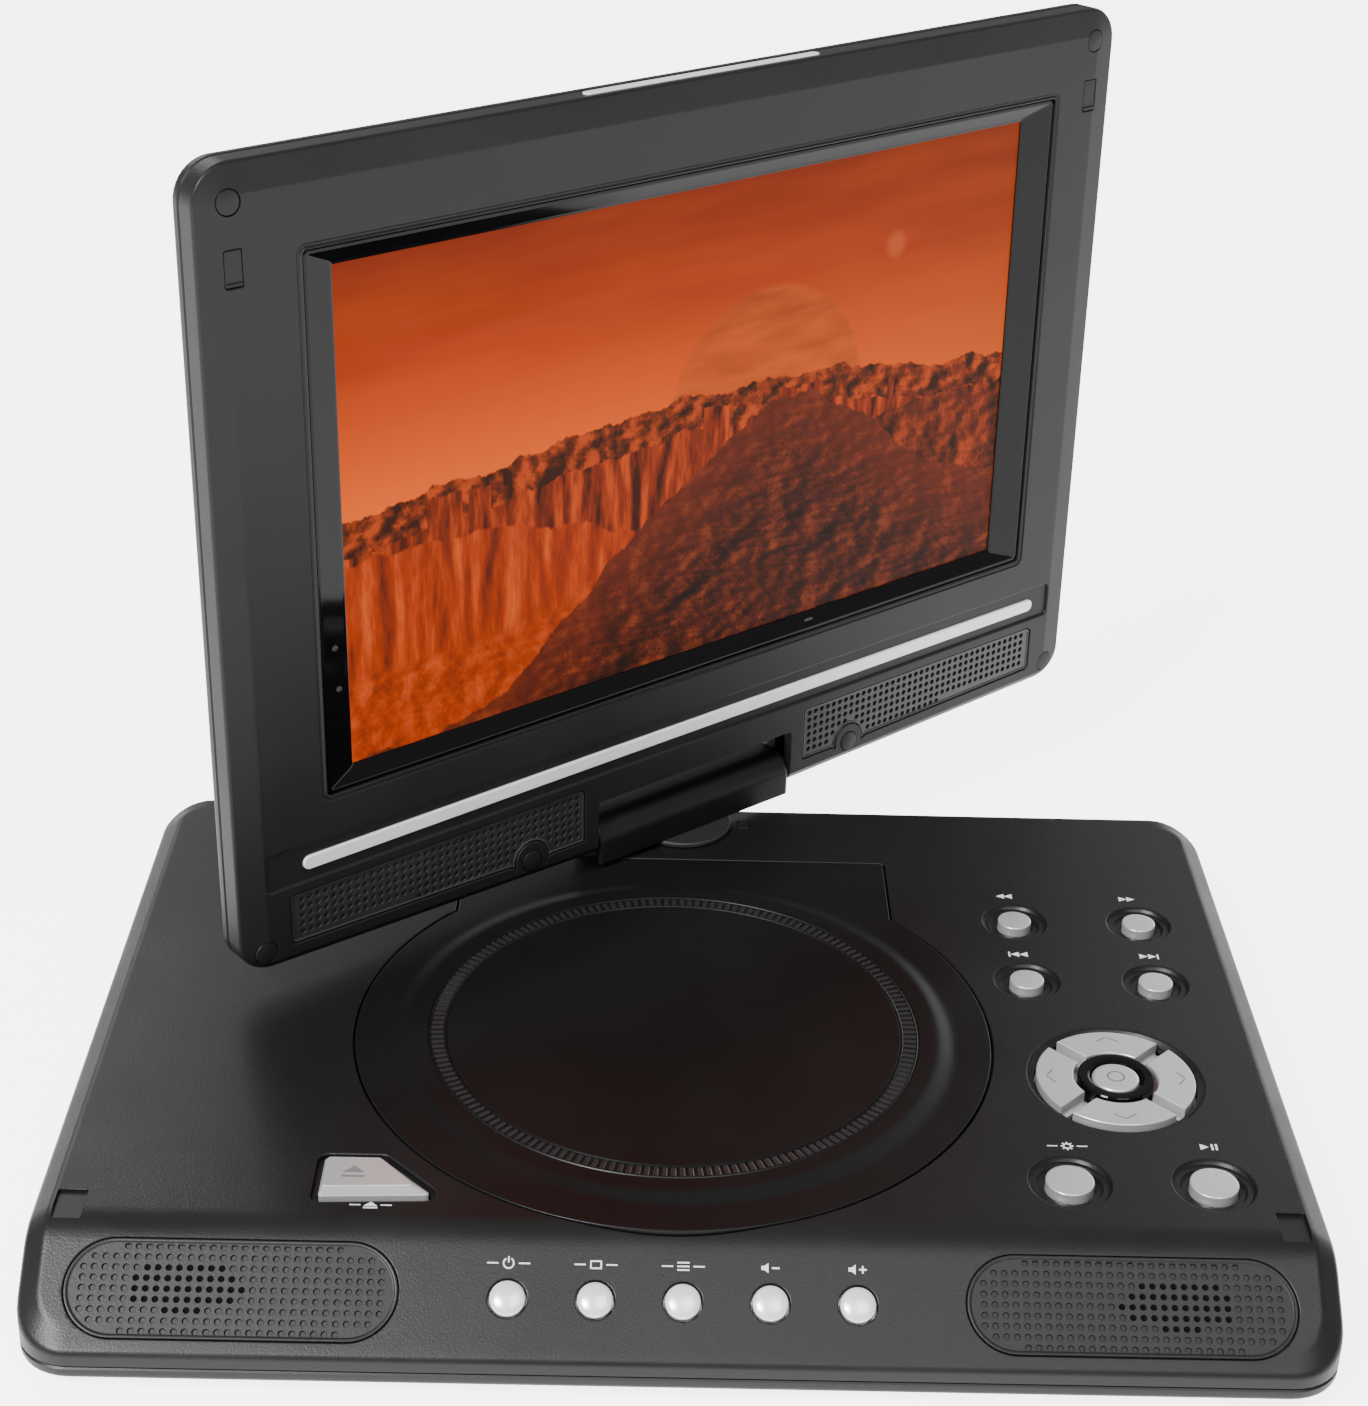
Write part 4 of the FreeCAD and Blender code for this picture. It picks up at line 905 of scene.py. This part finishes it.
# ---- base bottom shell ----
def build_bottom():
    rings = []
    for d, z in ((2.4, 6.2), (0.35, 6.2), (0.0, 5.9), (0.0, 4.7), (0.25, 4.0), (0.9, 3.35), (2.4, 2.55),
                 (4.6, 1.95), (7.2, 1.6), (9.5, 1.5), (10.9, 1.5)):
        rings.append(shell_ring(d, level(z)))
    outer = temp(*stack(rings))
    cuts = [lathe([(0, 1.0), (2.5, 1.0), (2.5, 3.4), (0, 3.4)], 32, shift(x, y)) for x, y in SCREWS]
    cuts.append(plate(rrect(-30, 34, -20, 22, 2.0), [(1.0, 0), (1.75, 0)]))
    for i in range(9):
        cuts.append(plate(rrect(62 + i * 4.4, 64.2 + i * 4.4, 30, 56, 1.05, 4), [(0.9, 0), (2.6, 0)]))
    pan = plate(rrect(-HALF_W + 9, HALF_W - 9, -HALF_D + 9, HALF_D - 9, 4), [(3.5, 0), (8, 0)])
    carve(outer, cuts + [pan])
    return finish_piece("bottom_shell", outer, "base", M["base"], ["base_bottom_shell"])


build_bottom()
prof = [(0, 1.5), (6.0, 1.5), (6.0, 0.5), (5.85, 0.15), (5.5, 0), (3.2, 0), (3.0, 0.25), (0, 0.25)]
feet = [lathe(prof, 48, shift(x, y)) for x, y in FEET]
finish_piece("foot_pads", join(feet), "base", M["rubber"], ["feet"])


# ---- swivel and hinge block ----
prof = [(3.4, -4.9), (6.0, -4.9), (6.0, 0.2), (11.6, 0.2), (12.0, 0.5), (12.0, 1.2), (11.7, 1.5), (3.4, 1.5)]
neck = plate(rrect(-10, 10, -3.8, 3.8, 1.0, 4), [(26.9, 0), (28.3, 0)],
             shift(0, SWIVEL_Y) @ spin(REST_TURN, "Z"))
ob = join([ring_lathe(prof, 96, shift(0, SWIVEL_Y, TOP)), neck])
finish_piece("turret_plate", ob, "swivel", M["rubber"], ["swivel_turret"])


def block_shell(front):
    # half of the hinge cover: flat skirt below, rounded over the top in front, closed at both ends
    r, wall, half, low, middle = 5.4, 1.2, 30.0, -5.4, 0.05
    sgn = -1 if front else 1

    def section(rr):
        k = rr if front else 1.0
        turn = [(sgn * (rr - k + k * math.cos(a)), rr - k + k * math.sin(a))
                for a in [math.radians(90 * i / 12) for i in range(13)]]
        if front:
            return [(sgn * rr, low)] + turn[:-1] + [(sgn * middle, rr)]
        return [(sgn * rr, low)] + turn[1:] + [(sgn * middle, rr)]

    ends = [(0.0, 0.7), (0.12, 0.3), (0.5, 0.06), (1.0, 0.0)]
    stations = [(x - half, g) for x, g in ends] + [(half - x, g) for x, g in reversed(ends)]
    rings = [[(x, y, z) for y, z in section(r - g) + section(r - wall)[::-1]] for x, g in stations]
    shell = temp(*stack(rings))
    caps = [temp(*stack([[(s * (half - x), y, z) for y, z in section(r - 0.8)] for x in (0.02, 1.2)]))
            for s in (-1, 1)]
    carve(shell, caps, "UNION")
    hole = lathe([(0, -40), (2.4, -40), (2.4, 40), (0, 40)], 32, spin(90, "Y"))
    return carve(shell, [hole])


finish_piece("block_front", block_shell(True), "swivel", M["block"], ["hinge_cover_front"], TURRET_AT)
finish_piece("block_rear", block_shell(False), "swivel", M["block"], ["hinge_cover_rear"], TURRET_AT)


# ---- screen front bezel ----
def lid_ring(x0, x1, z0, z1, r, y, rise=0.0, n=10):
    # two more points on the lower side, where the edge starts to rise beside the hinge
    pts = [(-RISE_FROM, z0), (RISE_FROM, z0)] + rrect(x0, x1, z0, z1, r, n)
    fade = 20       # the rise is gone at this height
    out = []
    for x, z in pts:
        if rise and z < fade:
            k = max(0.0, min(1.0, (abs(x) - RISE_FROM) / (RISE_TO - RISE_FROM)))
            z = z + rise * k * (1 - max(0.0, z - z0) / (fade - z0))
        out.append((x, y, z))
    return out


def lid_edge(inset, y):
    low = min(inset, 0.6 + (inset - 0.6) * 0.22)
    return lid_ring(-LID_X + inset, LID_X - inset, LID_LOW + low, LID_TOP - inset, max(8.5 - inset, 0.6), y,
                    RISE)


def lid_notch(top, depth):
    # cutter for the hinge notch in the lid's lower edge
    pts = [(-NOTCH_HALF, -30), (NOTCH_HALF, -30), (NOTCH_HALF, top), (-NOTCH_HALF, top)]
    return plate(round_poly(pts, 1.2), [(-depth, 0), (depth, 0)], upright(0, 0))


def build_bezel():
    f = LID_FRONT
    rings = [lid_edge(1.9, LID_PART), lid_edge(0.4, LID_PART), lid_edge(0.0, LID_PART - 0.4)]
    for d, y in ((0.0, 1.8), (0.05, 1.5), (0.2, 1.22), (0.45, 1.04), (0.6, 1.0), (6.2, 0.05), (6.6, 0.0),
                 (7.4, 0.0)):
        rings.append(lid_edge(d, f + y))
    x0, x1, z0, z1 = WIN
    for grow, r, y in ((1.5, 2.2, 0.0), (1.15, 1.9, 0.35), (0.75, 1.6, 0.35), (0.35, 1.3, 0.02),
                       (0.05, 1.0, 0.12), (0.0, 0.9, 0.5), (0.0, 0.9, 2.6), (3.0, 2.0, 2.7)):
        rings.append(lid_ring(x0 - grow, x1 + grow, z0 - grow, z1 + grow, r, f + y))
    rings.append(lid_edge(2.2, f + 2.7))
    ob = temp(*stack(rings, loop=True))
    cuts = [lid_notch(NOTCH_TOP, 8)]
    cuts.append(flare(rrect(-121.6, 121.6, 19.7, 28.3, 1.0, 5), -0.65, 0, 0.6, upright(0, 0, f)))
    cuts.append(plate(rrect(-112.3, 116.3, 21.8, 25.6, 1.85, 8), [(-1.5, 0), (2, 0)], upright(0, 0, f)))
    for side in (-1, 1):
        cuts.append(flare(screen_grille_outline(side), -1.25, 0, 0.25, upright(0, 0, f)))
        lk = rrect(side * LATCH_X - 2.1, side * LATCH_X + 2.1, LATCH_Z0, LATCH_Z1, 0.4, 3)
        cuts.append(flare(lk, -1.4, -0.1, 0.2, upright(0, 0, f)))
    for x, z in BUMPERS:
        cuts.append(lathe([(0, -1.6), (2.78, -1.6), (2.78, -0.9), (2.78, 2), (0, 2)], 48, upright(x, z, f)))
    carve(ob, cuts)
    return finish_piece("screen_front", ob, "screen", M["housing"], ["screen_bezel"], LID_AT)


def screen_grille_outline(side, grow=0.0):
    # long panel whose lower edge rises outwards, with a bay for the round pad
    x0, x1, _, z1 = S_GRILLE
    pts = [(x0, 2.6), (x0 + 9.9, 2.75)]
    for i in range(9):
        a = math.radians(195 - 210 * i / 8)
        pts.append((50.5 + 4.6 * math.cos(a), 3.4 + 4.6 * math.sin(a)))
    pts += [(x0 + 22.0, 3.0), (x1 - 0.8, 4.6), (x1, 5.4), (x1, z1 - 1.0), (x1 - 1.0, z1), (x0 + 1.0, z1),
            (x0, z1 - 1.0)]
    if side < 0:
        pts = [(-x, z) for x, z in pts][::-1]
    return offset(pts, grow) if grow else pts


def inside(pts, x, y):
    # whether the point lies in the outline
    hit = False
    for i in range(len(pts)):
        (ax, ay), (bx, by) = pts[i - 1], pts[i]
        if (ay > y) != (by > y) and x < (bx - ax) * (y - ay) / (by - ay) + ax:
            hit = not hit
    return hit


def build_screen_grilles():
    f = LID_FRONT
    out = []
    for side in (-1, 1):
        o = screen_grille_outline(side, -0.2)
        lim = screen_grille_outline(side, -1.2)
        pts = []
        for i in range(40):
            for j in range(7):
                x, z = side * (36.9 + LID_HOLE_PITCH * i), 15.2 - LID_HOLE_PITCH * j
                if inside(lim, x, z):
                    pts.append((x, z))
        levels = [(-1.2, 0), (-0.4, 0), (-0.25, -0.1), (-0.22, -0.3), (-0.28, -0.45), (-0.42, -0.6)]
        out.append(perforated(o, levels, pts, 0.64, 0.65, upright(0, 0, f), 10))
    return finish_piece("lid_grilles", join(out), "screen", M["lid_grille"], ["screen_grilles"], LID_AT, 14,
                        weighted=False)


def build_back():
    rings = [lid_edge(1.9, LID_PART + 0.1), lid_edge(0.4, LID_PART + 0.1), lid_edge(0.0, LID_PART + 0.5),
             lid_edge(0.0, 2.4)]
    for i in range(1, 7):
        a = math.radians(15 * i)
        rings.append(lid_edge(4.5 - 4.5 * math.cos(a), 2.4 + 2.8 * math.sin(a)))
    rings.append(lid_edge(12, LID_BACK))
    outer = temp(*stack(rings))
    cuts = [lid_notch(BACK_NOTCH_TOP, 9),
            plate(rrect(-118, 118, 14, 172, 4), [(-3.6, 0), (2, 0)], upright(0, 0))]
    for x, z in ((-118, 30), (118, 30), (-118, 168), (118, 168)):
        cuts.append(plate(arc(x, z, 2.0, 0, 330, 11), [(-9, 0), (-3.8, 0)], upright(0, 0)))
    carve(outer, cuts)
    return finish_piece("screen_back", outer, "screen", M["housing"], ["screen_back_shell"], LID_AT)


def rect_ring(b, grow, y, r=0.8):
    return lid_ring(b[0] - grow, b[1] + grow, b[2] - grow, b[3] + grow, r, y, 0.0, 4)


def build_lcd():
    f = LID_FRONT
    rings = [rect_ring(WIN, -0.25, f + 2.7), rect_ring(WIN, -0.25, f + 0.75), rect_ring(WIN, -0.4, f + 0.6),
             rect_ring(WIN, -0.9, f + 0.55), rect_ring(WIN, -1.3, f + 0.72)]
    rings += [lid_ring(PIC[0] - 1.0, PIC[1] + 1.0, PIC[2] - 0.9, PIC[3] + 0.9, 0.8, f + 2.05, 0.0, 4),
              lid_ring(PIC[0] - 0.35, PIC[1] + 0.35, PIC[2] - 0.35, PIC[3] + 0.35, 0.6, f + 2.15, 0.0, 4),
              lid_ring(*PIC, 0.5, f + 2.35, 0.0, 4), lid_ring(*PIC, 0.5, f + 2.7, 0.0, 4)]
    ob = temp(*stack(rings, loop=True))
    finish_piece("window_frame", ob, "screen", M["gloss"], ["lcd_bezel"], LID_AT)
    x0, x1, z0, z1 = PIC[0] - 4, PIC[1] + 4, PIC[2] - 3, PIC[3] + 3
    ob = temp(*stack([lid_ring(x0, x1, z0, z1, 0.5, y, 0.0, 2) for y in (f + 6.1, f + 2.72)]))
    me = ob.data
    layer = me.uv_layers.new(name="UVMap")
    for lp in me.loops:
        p = me.vertices[lp.vertex_index].co
        layer.data[lp.index].uv = ((p.x - PIC[0]) / (PIC[1] - PIC[0]), (p.z - PIC[2]) / (PIC[3] - PIC[2]))
    finish_piece("display", ob, "screen", M["picture"], ["lcd_panel"], LID_AT, weighted=False)
    marks = [lathe([(0, -0.6), (0.7, -0.6), (0.7, 0.15), (0.5, 0.25), (0, 0.3)], 20, upright(x, z, f + 1.3))
             for x, z in ((-101.2, 72.8), (-100.6, 62.9))]
    marks.append(plate(rrect(34.6, 37.2, 40.7, 41.6, 0.3, 3), [(-0.3, 0), (0.15, 0)], upright(0, 0, f + 1.5)))
    finish_piece("window_marks", join(marks), "screen", M["well"], at=LID_AT)
    strip = soft_plate(rrect(-112.1, 116.1, 22.0, 25.4, 1.65, 10), -1.3, -0.15, 0.35, 0, upright(0, 0, f))
    finish_piece("silver_bar", strip, "screen", M["strip"], ["chrome_strip"], LID_AT)
    trim = soft_plate(rrect(-33, 33, -3.0, -0.6, 1.1, 6), LID_TOP - 0.3, LID_TOP + 0.35, 0.25, 0,
                      shift(0, 0))
    finish_piece("top_bar", trim, "screen", M["strip"], ["top_trim"], LID_AT)
    pads = []
    for x, z in BUMPERS:
        up = -0.12 if abs(x) > 100 else 0.22
        pads.append(lathe([(0, -1.6), (2.6, -1.6), (2.6, up - 0.2), (2.52, up - 0.05), (2.35, up),
                           (0, up + 0.02)], 48,
                          upright(x, z, f)))
    finish_piece("round_pads", join(pads), "screen", M["housing"], ["screen_bumpers"], LID_AT)
    hooks = []
    for side in (-1, 1):
        c = side * LATCH_X
        hooks.append(soft_plate(rrect(c - 1.98, c + 1.98, 156.72, 164.18, 0.3, 3), -1.4, -0.22, 0.15, 0,
                                upright(0, 0, f)))
        hooks.append(soft_plate(rrect(c - 1.9, c + 1.9, 156.8, 157.7, 0.3, 3), -1.0, 0.12, 0.3, 0,
                                upright(0, 0, f)))
    finish_piece("catch_pads", join(hooks), "screen", M["housing"], ["latch_hooks"], LID_AT)


build_bezel()
build_screen_grilles()
build_back()
build_lcd()

# ---- carried-over nodes ----
KEEP = {
    "steel": ["drive_chassis", "spindle_motor", "guide_rods", "sled_motor", "lead_screw", "case_screws",
              "screen_screws",
              "door_hinge_pins", "hinge_bracket", "tilt_hinges", "swivel_retainer", "tact_switches"],
    "board": ["main_board", "button_board", "front_button_board", "lcd_board"],
    "well": ["disc_well", "turntable", "pickup_sled"],
    "wrap": ["battery_pack"], "cone": ["base_speakers", "screen_speakers"],
    "socket": ["audio_jacks", "dc_jack"]}
for key, names in KEEP.items():
    for n in names:
        me = NODES[n].data
        if not me.materials:
            me.materials.append(M[key])
        for i in range(len(me.materials)):
            me.materials[i] = M[key]

# ---- floor, lights, camera ----
def bright_to_camera(nt, light, seen, socket):
    # a pale studio ground: white where the camera looks, dimmer as a source of light
    path = nt.nodes.new("ShaderNodeLightPath")
    nt.links.new(remap(nt, path.outputs["Is Camera Ray"], light, seen), socket)


FLOOR_Z = -0.0003
me = bpy.data.meshes.new("floor")
me.from_pydata([(-6, -6, FLOOR_Z), (6, -6, FLOOR_Z), (6, 9, FLOOR_Z), (-6, 9, FLOOR_Z)], [], [(0, 1, 2, 3)])
floor = bpy.data.objects.new("floor", me)
bpy.context.scene.collection.objects.link(floor)
fm, nt, bs = new_mat("floor_pale")
settings(bs, {"Base Color": (0.93, 0.93, 0.93, 1), "Roughness": 0.9, "Specular IOR Level": 0.1,
              "Emission Color": (1, 1, 1, 1)})
bright_to_camera(nt, 1.5, 4.6, bs.inputs["Emission Strength"])
me.materials.append(fm)

world = bpy.context.scene.world or bpy.data.worlds.new("world")
bpy.context.scene.world = world
world.use_nodes = True
wt = world.node_tree
bg = wt.nodes["Background"]
bg.inputs["Color"].default_value = (1, 1, 1, 1)
bright_to_camera(wt, 0.42, 4.5, bg.inputs["Strength"])


def area(name, loc, target, size, power):
    d = bpy.data.lights.new(name, "AREA")
    d.energy = power
    d.size = size
    o = bpy.data.objects.new(name, d)
    o.location = loc
    o.rotation_euler = (Vector(target) - Vector(loc)).to_track_quat("-Z", "Y").to_euler()
    bpy.context.scene.collection.objects.link(o)


area("key", (-0.9, -1.1, 1.5), (0, 0, 0.03), 0.5, 58)
area("over", (0.42, -0.95, 1.5), (0, -0.05, 0.0), 0.8, 9)
area("back_left", (-0.95, 1.6, 1.15), (-0.1, 0, 0.03), 0.9, 8)
area("back_right", (1.25, 1.85, 0.65), (0.1, 0, 0.03), 1.0, 8)

cam_data = bpy.data.cameras.new("camera")
cam_data.lens = 67.25
cam_data.sensor_width = 36.0
cam_data.sensor_fit = "AUTO"
cam_data.clip_start = 0.01
cam = bpy.data.objects.new("camera", cam_data)
# heading, downward tilt and roll, in degrees
cam.matrix_world = (shift(-0.00944, -0.48413, 0.35412) @ spin(-0.894, "Z") @ spin(90 - 27.29, "X")
                    @ spin(1.685, "Z"))
bpy.context.scene.collection.objects.link(cam)
bpy.context.scene.camera = cam
